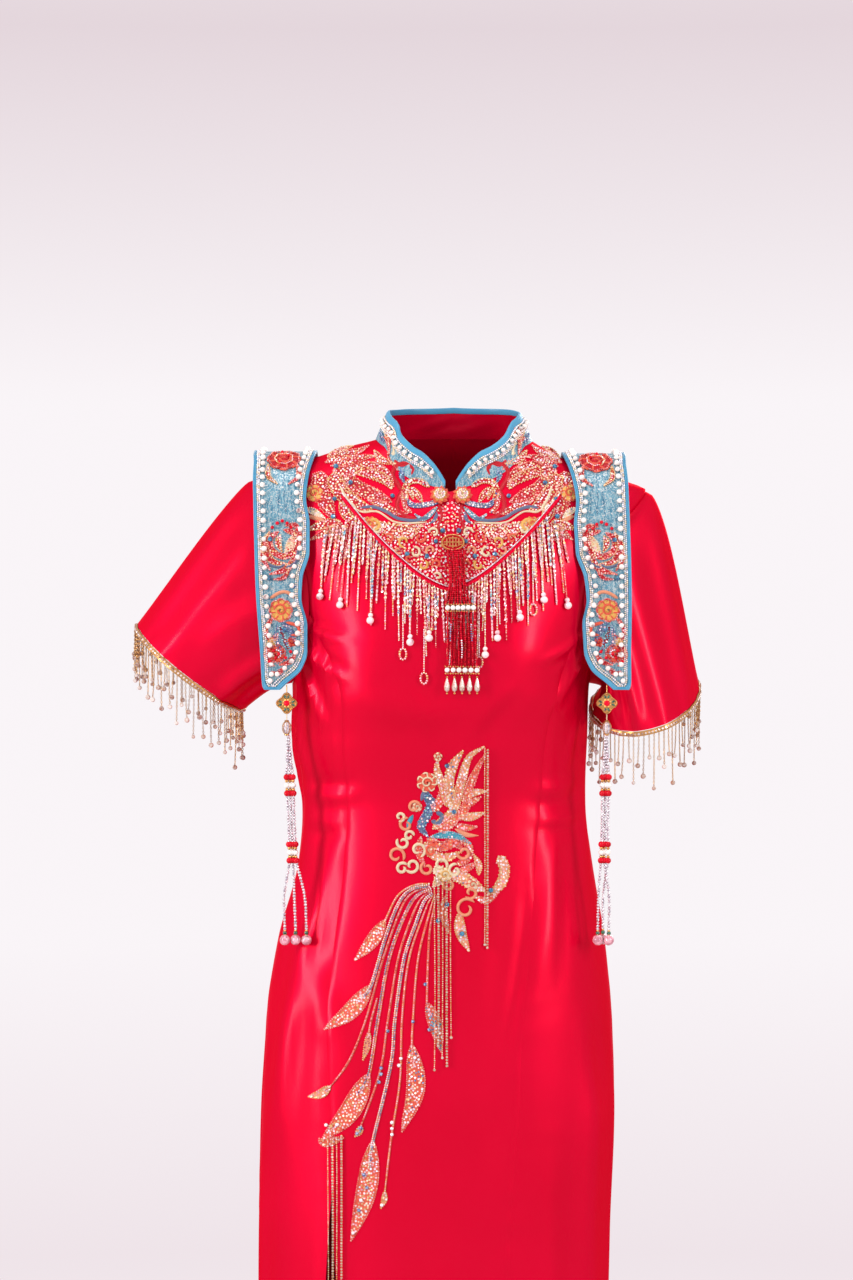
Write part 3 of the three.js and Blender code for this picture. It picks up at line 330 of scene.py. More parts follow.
def solid(points, faces):
    """A closed mesh, whose faces are turned to face out."""
    a, b, c, d = (points[[f[i] for f in faces if len(f) == 4]] for i in range(4))
    volume = (np.cross(a, b) * c).sum() + (np.cross(a, c) * d).sum()
    return points, faces if volume > 0 else [f[::-1] for f in faces]


def shell(outer, inner, ring=False):
    """A closed wall between two grids of points, each row of which closes on itself in a ring."""
    rows, columns = outer.shape[:2]
    index = np.arange(2 * rows * columns).reshape(2, rows, columns)
    if ring:
        index = np.concatenate([index, index[:, :, :1]], 2)
    out, ins = index

    def strip(a, b):
        return np.stack([a[:-1], a[1:], b[1:], b[:-1]], -1)

    faces = []
    for r in range(rows - 1):
        faces += [strip(out[r], out[r + 1]), strip(ins[r + 1], ins[r])]
    faces += [strip(ins[0], out[0]), strip(out[-1], ins[-1])]
    if not ring:
        faces += [strip(out[:, 0], ins[:, 0]), strip(ins[:, -1], out[:, -1])]
    points = np.concatenate([outer.reshape(-1, 3), inner.reshape(-1, 3)])
    return solid(points, np.concatenate(faces).tolist())


def new_mesh(name, points, faces, edges=()):
    mesh = bpy.data.meshes.new(name)
    mesh.from_pydata((np.array(points, float) * MM).tolist(), edges, faces)
    return mesh


def new_object(name, data):
    made = bpy.data.objects.new(name, data)
    bpy.context.scene.collection.objects.link(made)
    return made


def mark(mesh, marks):
    """Gives a mesh attributes: one number, or a number or vector for each point."""
    for name, values in marks.items():
        size = (len(mesh.vertices), *np.shape(values)[1:])
        kind, field = ("FLOAT_VECTOR", "vector") if len(size) > 1 else ("FLOAT", "value")
        kept = mesh.attributes.new(name, kind, "POINT")
        kept.data.foreach_set(field, np.full(size, values, np.float32).ravel())


def belongs(made, slot, nodes):
    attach(made, "root")
    if nodes:
        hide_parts(*nodes)
    return made


def piece(name, points, faces, look, nodes=(), uv=None, sharp=50, **marks):
    """A mesh of the dress, which stands for its nodes. Its look is a finish and an unused slot."""
    mesh = new_mesh(name, points, faces)
    mesh.materials.append(look[0])
    mesh.shade_smooth()
    mesh.set_sharp_from_angle(angle=math.radians(sharp))
    if uv is not None:
        corners = np.zeros(len(mesh.loops), np.int32)
        mesh.loops.foreach_get("vertex_index", corners)
        layer = mesh.uv_layers.new(name="UVMap")
        layer.data.foreach_set("uv", (uv[corners] * MM).astype(np.float32).ravel())
    mark(mesh, marks)
    return belongs(new_object(name, mesh), look[1], nodes)


ARMHOLE = {"bottom": -245, "tip": -40, "front": 38, "back": 34}  # front and back: degrees cut away
NECK_SEAM_TOP = 6
LEVEL = {"princess": -175, "chest": -75, "side": -300}
SLIT = {"top": -755, "open": 70}


def armhole_cut(z, depth):
    u = np.clip((z - ARMHOLE["bottom"]) / (ARMHOLE["tip"] - ARMHOLE["bottom"]), 0, 1)
    return depth * 2 * np.sqrt(u * (1 - u))


def armhole_height(share):
    return ARMHOLE["bottom"] + (ARMHOLE["tip"] - ARMHOLE["bottom"]) * share


PRINCESS_TOP = 90 - armhole_cut(LEVEL["princess"], ARMHOLE["front"])
princess = curve([
    (LEVEL["princess"], PRINCESS_TOP), (-200, 50), (-240, 44.5), (-300, 41), (-370, 40), (-430, 38),
    (-510, 34.5), (-600, 32), (-755, 28.8), (HEM, 28.3),
])
neckline = curve([(0, -50), (11, -38), (22, -23), (34, -9), (45, -2), (68, 4), (90, 6), (135, 10), (180, 12)])


def slit_angle(z):
    """Half of what the slit stands open at a height, in degrees of the section."""
    share = np.clip((SLIT["top"] - z) / (SLIT["top"] - HEM), 0, 1)
    return np.degrees(SLIT["open"] / 2 * share / body["half"](z))


SKIRT_LEVELS = np.concatenate([np.linspace(HEM, -860, 36, endpoint=False), np.linspace(-860, -300, 115)])
YOKE_RISE = np.linspace(0, 1, 23)[1:]


def bodice_rows(share):
    """Heights at the rows' edges and across them: level to the chest, then bending to the
    neckline. share is each column's angle when the panel is spread to 90."""
    level = np.concatenate([SKIRT_LEVELS[:-1], np.linspace(LEVEL["side"], LEVEL["chest"], 50)])
    rise = YOKE_RISE[:, None]
    bent = LEVEL["chest"] + (neckline(np.abs(share)) - LEVEL["chest"]) * rise
    edge = np.concatenate([level, LEVEL["chest"] + (NECK_SEAM_TOP - LEVEL["chest"]) * YOKE_RISE])
    return edge[:, None], np.concatenate([np.repeat(level[:, None], len(share), 1), bent])


PUCKER = {"wave": 7.5, "reach": 8, "high": 0.32}  # the slight gathering along a stitched seam


def dip(angle, z, edge, held=1.0):
    """How far the cloth sinks and puckers beside a seam."""
    off = np.abs(angle - edge) * ARC
    ripple = np.sin(z / PUCKER["wave"] + 2.2 * np.sin(z / 31)) * (0.6 + 0.4 * np.sin(z / 47))
    pucker = PUCKER["high"] * ripple * np.exp(-((off / PUCKER["reach"]) ** 2))
    return held * (pucker * smooth(-150, -190, z) - 0.8 * np.exp(-((off / 1.9) ** 2)))


def panel(name, angle, z, lift, flat, area):
    """One cut of the body, from its places on the form and its rise beside its seams."""
    faces = []
    for base in (CLOTH, 0.0):
        grid = cloth(angle, z, base + lift)
        for edge, beside in ((0, 1), (-1, -2)):
            for rows in (grid, grid.transpose(1, 0, 2)):
                rows[edge] += SEAM * unit(rows[beside] - rows[edge])
        faces.append(grid)
    made = piece(f"{name}_cloth", *shell(*faces), RED_SATIN, [name])
    return made


def front_centre():
    share = np.linspace(-1, 1, 59)
    edge, z = bodice_rows(share * 90)
    cut = np.where(edge > LEVEL["princess"], 90 - armhole_cut(edge, ARMHOLE["front"]), princess(edge))
    half = np.where(edge >= ARMHOLE["tip"], 90.0, cut)
    right = half - slit_angle(edge)
    angle = np.where(share < 0, share * right, share * half)
    held = smooth(SLIT["top"] - 20, SLIT["top"], z)
    lift = dip(angle, z, -right, held) + dip(angle, z, half)
    return panel("front_centre", angle, z, lift, (0.36, 1.42), 0.36)


def front_side(side, sign):
    share = np.linspace(0, 1, 22)
    cut = (1 - share) * (90 - PRINCESS_TOP) / ARMHOLE["front"]
    top = armhole_height((1 - np.sqrt(1 - np.minimum(1, cut) ** 2)) / 2)
    rise = np.linspace(0, 1, 31)[1:, None]
    under = LEVEL["side"] + (top - LEVEL["side"]) * rise
    z = np.concatenate([np.repeat(SKIRT_LEVELS[:, None], len(share), 1), under])
    climb = LEVEL["side"] + (LEVEL["princess"] - LEVEL["side"]) * rise
    seam = np.concatenate([SKIRT_LEVELS[:, None], climb])
    inner = princess(seam) + (slit_angle(seam) if sign < 0 else 0)
    angle = inner + (90 - inner) * share
    held = smooth(SLIT["top"] - 20, SLIT["top"], z) if sign < 0 else 1.0
    lift = dip(angle, z, inner, held) + dip(angle, z, 90)
    return panel(f"front_side_{side}", sign * angle, z, lift, (0.2, 1.2), 0.17)


def back(side, sign):
    share = np.linspace(0, 1, 25)
    edge, z = bodice_rows(180 - 90 * share)
    inside = (edge > ARMHOLE["bottom"]) & (edge < ARMHOLE["tip"])
    outer = np.where(inside, 90 + armhole_cut(edge, ARMHOLE["back"]), 90.0)
    angle = 180 + (outer - 180) * share
    lift = dip(angle, z, 180) + dip(angle, z, outer)
    return panel(f"back_{side}", sign * angle, z, lift, (0.31, 1.42), 0.36)


SIDES = {"right": -1, "left": 1}
front_centre()
for side, sign in SIDES.items():
    front_side(side, sign)
    back(side, sign)

# ---------------- sleeves
# Short flared sleeves of the same satin. The wearer's right arm was held out, hand on hip, and
# the left arm hung down. Each hem is an oval round its arm.
SLEEVES = {
    "right": {"centre": (-272, 4, -226), "corner": (-56, 0, 44), "front": (-4, -68, -8), "bulge": 5},
    "left": {"centre": (200, 4, -258), "corner": (55, 0, 8), "front": (-8, -64, -34), "bulge": 9},
}
# Folds of a sleeve: start, bend and end as degrees round from under the arm, front first,
# and the share of the way from the armhole to the hem, then width and height.
SLEEVE_FOLDS = {
    "right": [
        (38, 0.02, 60, 0.4, 52, 0.95, 9, 4.8), (20, 0.05, 30, 0.45, 22, 0.98, 8, 3.8),
        (70, 0, 92, 0.3, 96, 0.7, 9, 3), (128, 0.1, 118, 0.5, 112, 0.98, 12, 2.6),
        (156, 0.05, 150, 0.4, 146, 0.85, 10, 1.9), (300, 0.05, 306, 0.4, 300, 0.95, 10, 3.5),
        (254, 0.1, 262, 0.5, 268, 0.98, 11, 2.9), (216, 0.1, 222, 0.5, 216, 0.9, 10, 2.2),
    ],
    "left": [
        (40, 0.02, 62, 0.35, 58, 0.9, 9, 4.2), (14, 0.05, 24, 0.5, 20, 0.98, 7, 3.8),
        (78, 0.05, 90, 0.45, 84, 0.98, 10, 3.5), (118, 0.1, 112, 0.5, 116, 0.98, 12, 2.9),
        (150, 0.05, 146, 0.4, 150, 0.9, 10, 1.9), (304, 0.05, 300, 0.4, 306, 0.95, 10, 3.5),
        (262, 0.1, 256, 0.5, 260, 0.98, 11, 2.9), (220, 0.1, 214, 0.5, 220, 0.9, 10, 2.2),
    ],
}
SLEEVE_ROUND, SLEEVE_LONG = 120, 42  # columns and rows
SLEEVE_FALL = 130  # from armhole to hem


def sleeve_rise(side, around, share):
    total = np.zeros(np.broadcast(around, share).shape)
    for *row, wide, high in SLEEVE_FOLDS[side]:
        line = bezier(row, 30)
        off = (np.degrees(around) % 360 - np.interp(share, line[:, 1], line[:, 0])) / wide
        start, end = row[1], row[-1]
        fade = smooth(start - 0.06, start + 0.2, share) * (1 - smooth(end - 0.15, end + 0.2, share))
        total += high * fade * (np.exp(-off * off) - 0.5 * np.exp(-((off - 1.6) ** 2)))
    return total


def sleeve(side, sign):
    spec = SLEEVES[side]
    centre, corner, ahead = (np.array(spec[k], float) for k in ("centre", "corner", "front"))
    around = np.linspace(0, 2 * np.pi, SLEEVE_ROUND, endpoint=False)
    z = armhole_height((1 - np.cos(around)) / 2)
    cut = np.where(np.sin(around) > 0, ARMHOLE["front"], ARMHOLE["back"]) * np.sin(around)
    angle = sign * (90 - cut)
    rim = outward(angle, z)
    seam = form(angle, z) + rim * CLOTH
    away = seam.mean(0) - seam
    away = unit(away - (away * rim).sum(-1, keepdims=True) * rim)
    end = centre - np.cos(around)[:, None] * corner + np.sin(around)[:, None] * ahead
    under = (1 + np.cos(around)) / 2
    out = np.stack([sign * (spec["bulge"] + 5 * under), 0 * under, 3 * (1 - under)], -1)
    share = np.linspace(0, 1, SLEEVE_LONG)[:, None]
    t = share[..., None]
    grid = (seam + 3 * SEAM * away) * (1 - t) + end * t + out * np.sin(np.pi * np.sqrt(t))
    across = np.roll(grid, -1, 1) - np.roll(grid, 1, 1)
    normals = unit(np.cross(across, np.gradient(grid, axis=0))) * -sign
    tip = ((1 - np.cos(around)) / 2)[:, None]
    normals[0] = unit(normals[0] * (1 - tip) + rim * tip)
    rise = sleeve_rise(side, around, share) - 0.7 * np.exp(-((share * SLEEVE_FALL / 2.2) ** 2))
    turned = np.exp(-(((share - 1) * SLEEVE_FALL / 9) ** 2)) * 0.35 * np.sin(around * 23)
    outer = grid + normals * (rise + turned)[..., None]
    wall = shell(outer, outer - normals * CLOTH, True)
    made = piece(f"sleeve_{side}_cloth", *wall, RED_SATIN, [f"sleeve_{side}"])
    return outer, normals


sleeves = {side: sleeve(side, sign) for side, sign in SIDES.items()}

# ---------------- sleeve braid and fringe
# A gold braid with set stones is sewn round each hem. From it hang fine gold chains, long
# ones with a bezel stone at the end between short pairs of flat links.

TRIM = {"tall": 5, "gap": 0.7}
FRINGE = {"pitch": 5.4, "link": 2.1, "stone": 4.6, "long": (52, 27, 40, 24)}


def gold():
    """Gold-plated brass, a little uneven and duller in its hollows."""
    metal = Finish("gold", Metallic=1.0)
    wear = metal.noise(metal.place(), 240, 3)
    warm = metal.mix(metal.attribute("tint"), rgb(186, 122, 78, 0.8), rgb(255, 204, 128, 0.95))
    tone = metal.mix(wear * 0.5, warm, rgb(128, 70, 36, 0.8))
    metal.show(Base_Color=tone, Roughness=0.22 + wear * 0.16)
    metal.shape(wear, 0.12, 0.4)
    return metal.material


def shades(share, *stops):
    """A ramp's stops, from places and colours as rgb() takes them."""
    return [(place, rgb(*colour, share)) for place, *colour in stops]


def glassy(name, shades, painted_reflection, painted_sparkle_strength=0.3, scale=600, rough=0.1, metal=0.0, held=False, **constants):
    """Glass, stone or pearl: a colour by tint, flecked with painted reflections and painted shade."""
    glass = Finish(name, **({"Coat_Weight": 0.3, "Coat_Roughness": 0.05} | constants))
    painted_sparkle_noise = glass.noise(glass.place(), scale, 2)
    tone = glass.ramp(glass.attribute("tint"), shades, held)
    # Darker flecks of painted shade where the noise is low.
    tone = glass.mix((0.44 - painted_sparkle_noise) * (9 * painted_sparkle_strength), tone, (0.14, 0.01, 0.02))
    # Flecks of painted reflection where the noise is high.
    tone = glass.mix((painted_sparkle_noise - 0.44) * (8 * painted_sparkle_strength), tone, painted_reflection)
    glass.show(Base_Color=tone, Roughness=rough + painted_sparkle_noise * 0.14, Metallic=painted_sparkle_noise * metal)
    return glass.material


GOLD = gold(), "gold"
CHAMPAGNE = shades(STUDIO, (0, 170, 92, 62), (0.4, 222, 160, 122)) + shades(TRIMMINGS, (0.8, 255, 238, 228))
# The third value of glassy() is the colour of its painted reflections.
STONES = glassy("cut stones", CHAMPAGNE, rgb(255, 250, 246), 0.5, 900, 0.08, 0.5, Coat_Weight=0.7), "crystal"
HUE_STEP = 0.12  # how far apart the colours of a palette lie on its ramp


def palette(colours, share, start=0.0):
    """A held ramp of colours, and by its name the place of each on it."""
    stops = [(max(0, start + HUE_STEP * i), rgb(*colour, share)) for i, colour in enumerate(colours.values())]
    return stops, {name: start + HUE_STEP * (i + 0.5) for i, name in enumerate(colours)}


# Seed beads and sequins have one finish, whose colour goes by each one's tint.
BEAD_COLOURS = {
    "red": (196, 4, 34), "coral": (238, 96, 78), "pink": (248, 164, 182), "gold": (230, 172, 96),
    "cream": (252, 228, 196), "silver": (244, 240, 252), "shell": (252, 206, 212), "blue": (30, 92, 160),
    "teal": (60, 160, 182),
}
BEAD_STOPS, BEAD_SHADES = palette(BEAD_COLOURS, 0.88, -0.02)
BEADS = glassy("beads", BEAD_STOPS, rgb(255, 250, 246, 1.0), 0.3, 700, 0.14, 0.6, True)
PEARLY = shades(0.85, (0, 252, 246, 240), (0.4, 250, 234, 230)) + shades(1, (0.75, 255, 206, 214))
PEARL = glassy("pearl", PEARLY, rgb(240, 224, 216, 0.8), 0.5, 130, 0.18, Coat_Weight=0.6), "pearl"

templates = []


def template(name, points, faces, flat=False):
    """The shape of one small piece, 1 mm across, which rows and patches repeat."""
    mesh = new_mesh(name, points, faces)
    if not flat:
        mesh.shade_smooth()
    templates.append(new_object(name, mesh))
    return templates[-1]


def ringed(profile, sides, axis=2):
    """A closed turned shape from radii and heights, with a point at each end."""
    a = 2 * np.pi * np.arange(sides) / sides
    rings = [np.stack([r * np.cos(a), r * np.sin(a), 0 * a + h], -1) for r, h in profile[1:-1]]
    points = np.concatenate([[(0, 0, profile[0][1])], *rings, [(0, 0, profile[-1][1])]])
    faces, last = [], len(points) - 1
    for i in range(sides):
        j = (i + 1) % sides
        faces.append((0, 1 + j, 1 + i))
        for low in range(1, last - sides, sides):
            faces.append((low + i, low + j, low + sides + j, low + sides + i))
        faces.append((last - sides + i, last - sides + j, last))
    return np.roll(points, axis - 2, 1), faces


def ball(sides, rows, radius=0.5, tall=None):
    """A ball, or an egg."""
    tall = radius if tall is None else tall
    b = np.linspace(0, np.pi, rows + 1)
    return ringed(list(zip(radius * np.sin(b), -tall * np.cos(b))), sides)


def link(long, wire, around=5, section=3):
    """One oval link of chain, lying along X."""
    a = 2 * np.pi * np.arange(around)[:, None] / around
    b = 2 * np.pi * np.arange(section) / section
    way = np.stack([np.cos(a), np.sin(a), 0 * a], -1)
    middle = way * (long / 2, 0.34, 0)
    flat, up = way * np.cos(b)[:, None], np.sin(b)[:, None] * (0, 0, 1)
    return tube_grid(middle + wire * (flat + up), True)


def tube_grid(rings, loop=False):
    """A solid through rings of points, closed on itself or with capped ends."""
    count, sides = rings.shape[:2]
    index = np.arange(count * sides).reshape(count, sides)
    ahead = np.roll(index, -1, 0) if loop else index[1:]
    here = index if loop else index[:-1]
    faces = np.stack([here, np.roll(here, -1, 1), np.roll(ahead, -1, 1), ahead], -1).reshape(-1, 4).tolist()
    if not loop:
        faces += [index[0][::-1].tolist(), index[-1].tolist()]
    return solid(rings.reshape(-1, 3), faces)


SEED = template("seed", *ball(4, 3))
ROUND = template("round", *ball(8, 6))
SMOOTH = template("smooth", *ball(14, 10))
LINK = template("link", *link(1.15, 0.15))
CUT = template("cut", *ringed([(0, -0.35), (0.4, -0.1), (0.5, 0.1), (0.3, 0.32), (0, 0.32)], 8), flat=True)

INPUTS = {
    "Base": "Geometry", "Shape": "Object", "Spacing": "Float", "Size": "Float", "Vary": "Float",
    "Mottle": "Float", "Turn": "Float", "Seed": "Int", "Finish": "Material",
}


class Strewing(Graph):
    """A tree that sets out small pieces on its base."""

    def __init__(self, name):
        super().__init__(bpy.data.node_groups.new(name, "GeometryNodeTree"))
        for label, kind in INPUTS.items():
            self.tree.interface.new_socket(label, in_out="INPUT", socket_type=f"NodeSocket{kind}")
        made = self.tree.nodes.new("NodeGroupInput")
        self.given = {label: Socket(self, made.outputs[label]) for label in INPUTS}

    def scattered(self, low, high, step):
        """A number for each shape between low and high, its own for each step."""
        kind, seed = "FunctionNodeRandomValue", self.given["Seed"] + step
        return self.node(kind, {2: low, 3: high}, 1, data_type="FLOAT", Seed=seed)

    def set_out(self, points, lie, turn):
        """Puts a shape at each point, turned in its own frame and a little varied in size and
        shade, gives it its finish and ends the tree."""
        given = self.given
        lie = self.node("FunctionNodeRotateRotation", rotation_space="LOCAL", Rotation=lie, Rotate_By=turn)
        size = given["Size"] * (1 + self.scattered(-1.0, 1.0, 0) * given["Vary"])
        shape = self.node("GeometryNodeObjectInfo", out="Geometry", Object=given["Shape"])
        values = {"Points": points, "Instance": shape, "Rotation": lie, "Scale": size}
        shapes = self.node("GeometryNodeInstanceOnPoints", values)
        shade = self.node("GeometryNodeInputNamedAttribute", data_type="FLOAT", Name="shade")
        values = {"Name": "tint", "Value": shade + self.scattered(-1.0, 1.0, 7) * given["Mottle"]}
        settings = {"data_type": "FLOAT", "domain": "INSTANCE"}
        shapes = self.node("GeometryNodeStoreNamedAttribute", values, Geometry=shapes, **settings)
        real = self.node("GeometryNodeRealizeInstances", Geometry=shapes)
        made = self.node("GeometryNodeSetMaterial", Geometry=real, Material=given["Finish"])
        self.tree.interface.new_socket("Geometry", in_out="OUTPUT", socket_type="NodeSocketGeometry")
        self.feed(self.tree.nodes.new("NodeGroupOutput").inputs, {"Geometry": made})
        return self.tree


def row_tree():
    """Shapes at an even spacing along lines, which face the way their line faces out. Each is
    turned about the line by Turn more than the one before."""
    graph = Strewing("shapes in rows")
    curve_of = graph.node("GeometryNodeMeshToCurve", Mesh=graph.given["Base"])
    values = {"Curve": curve_of, "Length": graph.given["Spacing"]}
    even = graph.node("GeometryNodeResampleCurve", values, mode="LENGTH")
    facing = graph.node("GeometryNodeInputNamedAttribute", data_type="FLOAT_VECTOR", Name="facing")
    values = {"Primary Axis": facing, "Secondary Axis": graph.node("GeometryNodeInputTangent")}
    lie = graph.node("FunctionNodeAxesToRotation", values, primary_axis="Z", secondary_axis="X")
    turn = graph.node("GeometryNodeInputIndex") * graph.given["Turn"]
    turn = graph.node("FunctionNodeAxisAngleToRotation", Axis=(1, 0, 0), Angle=turn)
    return graph.set_out(even, lie, turn)


def scatter_tree():
    """Shapes strewn over a patch at an even distance, each tilted by up to Turn."""
    graph = Strewing("shapes over a patch")
    given = graph.given
    values = {"Mesh": given["Base"], "Distance Min": given["Spacing"], "Density Max": 900000.0}
    kind = "GeometryNodeDistributePointsOnFaces"
    points = graph.node(kind, values, "Points", distribute_method="POISSON", Seed=given["Seed"])
    facing = Socket(graph, points.output.node.outputs["Normal"])
    lie = graph.node("FunctionNodeAlignRotationToVector", axis="Z", Vector=facing)
    tilt = [graph.scattered(-1.0, 1.0, step) * given["Turn"] for step in (1, 2)]
    turn = dict(enumerate([*tilt, graph.scattered(0.0, 2 * math.pi, 3)]))
    turn = graph.node("FunctionNodeEulerToRotation", {0: graph.node("ShaderNodeCombineXYZ", turn)})
    return graph.set_out(points, lie, turn)


ROWS, SCATTER = row_tree(), scatter_tree()


def grown(name, mesh, tree, nodes, shape, spacing, size, look, *values):
    """The plain mesh that a tree makes on a base mesh, as a piece of the dress. The last values
    are how far it varies in size and shade, its turn and its seed."""
    made = new_object(name, mesh)
    modifier = made.modifiers.new("nodes", "NODES")
    modifier.node_group = tree
    sockets = [item for item in tree.interface.items_tree if item.in_out == "INPUT"]
    for item, value in zip(sockets[1:], (shape, spacing * MM, float(size), *values, look[0])):
        modifier[item.identifier] = value
    seen = made.evaluated_get(bpy.context.evaluated_depsgraph_get())
    made.data = bpy.data.meshes.new_from_object(seen)
    made.modifiers.clear()
    bpy.data.meshes.remove(mesh)
    made.data.name = name
    return belongs(made, look[1], nodes)


def rows(name, lines, *look, nodes=(), vary=0.08, mottle=0.12, twist=0.0, seed=1):
    """Small pieces in rows. Each line is its points, the ways it faces and its shade, as a
    number or a bead's colour. The look is the shape, its spacing and size, and its finish."""
    points, edges, facings, hues = [], [], [], []
    for line, facing, shade in lines:
        edges += [(i, i + 1) for i in range(len(points), len(points) + len(line) - 1)]
        points += list(line)
        facings += list(np.broadcast_to(facing, (len(line), 3)))
        hues += [BEAD_SHADES.get(shade, shade)] * len(line)
    base = new_mesh(name, points, [], edges)
    mark(base, {"facing": facings, "shade": hues})
    return grown(name, base, ROWS, nodes, *look, vary, mottle, twist, seed)


INSIDE = -14, 0, -40  # a place within the dress, whose height goes down with a patch


def sprinkle(name, patches, *look, vary=0.25, mottle=0.2, tilt=0.5, seed=1):
    """Small pieces strewn over patches, each a grid of points and its shade."""
    points, faces, hues = [], [], []
    for grid, shade in patches:
        index = np.arange(grid.shape[0] * grid.shape[1]).reshape(grid.shape[:2])
        quads = np.stack([index[:-1, :-1], index[:-1, 1:], index[1:, 1:], index[1:, :-1]], -1)
        quads, flat = quads.reshape(-1, 4), grid.reshape(-1, 3)
        a, b, c = flat[quads[len(quads) // 2][:3]]
        middle = (*INSIDE[:2], min(a[2], INSIDE[2]) - 4)
        outwards = np.cross(b - a, c - a) @ (a - middle) > 0
        faces += (len(points) + (quads if outwards else quads[:, ::-1])).tolist()
        points += flat.tolist()
        hues += [BEAD_SHADES.get(shade, shade)] * len(flat)
    base = new_mesh(name, points, faces)
    mark(base, {"shade": hues})
    return grown(name, base, SCATTER, (), *look, vary, mottle, tilt, seed)


def singles(points, facing, shade=0.5, way=(0.1, 0.1, 0.1)):
    """Lines for rows() that hold one small piece each, laid along a way."""
    points = np.reshape(points, (-1, 3))
    facing = np.broadcast_to(facing, points.shape)
    return [(np.stack([p, p + way]), np.stack([f, f]), shade) for p, f in zip(points, facing)]


def lengths(line):
    """How far along a line each of its points is."""
    return np.concatenate([[0], np.cumsum(np.linalg.norm(np.diff(line, axis=0), axis=1))])


def sampled(far, at, values):
    """Values that go with the distances far, at other distances."""
    return np.stack([np.interp(at, far, column) for column in np.transpose(values)], -1)


def closed_line(points, facing):
    return [np.concatenate([v, v[:1]]) for v in (points, facing)]


def braid(side):
    """The braid as a rounded band, and its points for the stones and chains."""
    edge, out = (grid[-1] for grid in sleeves[side])
    along = unit(np.roll(edge, -1, 0) - np.roll(edge, 1, 0))
    way = edge - sleeves[side][0][-2]
    way = unit(way - (way * along).sum(-1, keepdims=True) * along)
    profile = [
        (0, 0.1), (0, 0.8), (1.2, 1.3), (2.5, 1.5), (3.8, 1.3), (5, 0.8), (5, -1), (3, -1.6), (0, -1.2),
    ]
    ripple = 0.18 * np.sin(np.arange(len(edge)) * 2 * np.pi / 3)[:, None]
    rings = [edge + way * (TRIM["gap"] + down) + out * (up - 0.3 + ripple * (up > 0)) for down, up in profile]
    band = tube_grid(np.array(rings).transpose(1, 0, 2), True)
    piece(f"sleeve_braid_{side}", *band, GOLD, [f"sleeve_trim_{side}"], tint=0.5)
    middle = edge + way * (TRIM["gap"] + TRIM["tall"] / 2) + out * 1.3
    return middle, out, edge + way * (TRIM["gap"] + TRIM["tall"]) - out * 0.4


rng = np.random.default_rng(11)
for side, sign in SIDES.items():
    middle, out, foot = braid(side)
    line = (*closed_line(middle, out), 0.5)
    rows(f"braid_stones_{side}", [line], CUT, 3.7, 2.6, STONES, vary=0.1, mottle=0.5, seed=3)
    far = lengths(foot)
    count = int(far[-1] / FRINGE["pitch"])
    chains_of, drops = [], []
    for i in range(count):
        at = far[-1] * (i + 0.5) / count
        top, way = sampled(far, at, foot), sampled(far, at, out)
        long = FRINGE["long"][i % 4] * rng.uniform(0.86, 1.08)
        sway = np.array([rng.normal(0, 0.8), rng.normal(0, 0.8), 0])
        t = np.linspace(0, 1, 6)[:, None]
        path = top + t * (0, 0, -long) + sway * t**2
        chains_of.append((path, unit(way * (1, 1, 0) + (0, 0, 0.01)), rng.uniform(0.1, 0.8)))
        drops += singles(path[-1] - (0, 0, 2.2), (0, -1, 0), rng.uniform(0, 1), (0, 0, -0.2))
    look, nodes = (LINK, FRINGE["link"], 2.2, GOLD), [f"sleeve_fringe_{side}"]
    rows(f"sleeve_chains_{side}", chains_of, *look, nodes=nodes, mottle=0.2, twist=math.pi / 2)
    look = (CUT, 5, FRINGE["stone"], STONES)
    rows(f"sleeve_drops_{side}", drops, *look, vary=0.22, mottle=0.3, seed=5)

# ---------------- collar
# A stand collar of blue brocade lined with red satin, open in a small V at the front. Blue
# satin binds its edge, with a row of pearls between seed beads sewn under the binding.

COLLAR = curves(("tall", "lean"), [
    (1.6, 9, 3), (3, 15, 5), (6, 24, 8), (11, 31, 10), (22, 30, 11), (45, 27, 12), (90, 30, 13),
    (180, 31, 10),
])
COLLAR_THICK, BINDING = 2.2, 5.5
half_round = 1.6 + 178.4 * np.linspace(0, 1, 90) ** 1.5
COLLAR_ROUND = np.concatenate([-half_round, half_round[-2::-1]])


def collar_point(angle, height, inward):
    size = np.abs(angle)
    base = cloth(angle, neckline(size))
    out = unit(base * (1, 1, 0))
    lean = COLLAR["lean"](size) * height / COLLAR["tall"](size) + inward
    return base - out * np.asarray(lean)[..., None] + np.asarray(0.5 + height)[..., None] * (0, 0, 1)


def on_collar(angle, height, lift=0.0):
    """Points on the collar's outer face and the ways that it faces there."""
    angle, height, lift = np.broadcast_arrays(np.asarray(angle, float), height, lift)
    points = collar_point(angle, height, -lift)
    return points, unit(points * (1, 1, 0))


def binding_foot(angle):
    return np.maximum(2.5, COLLAR["tall"](np.abs(angle)) - BINDING)


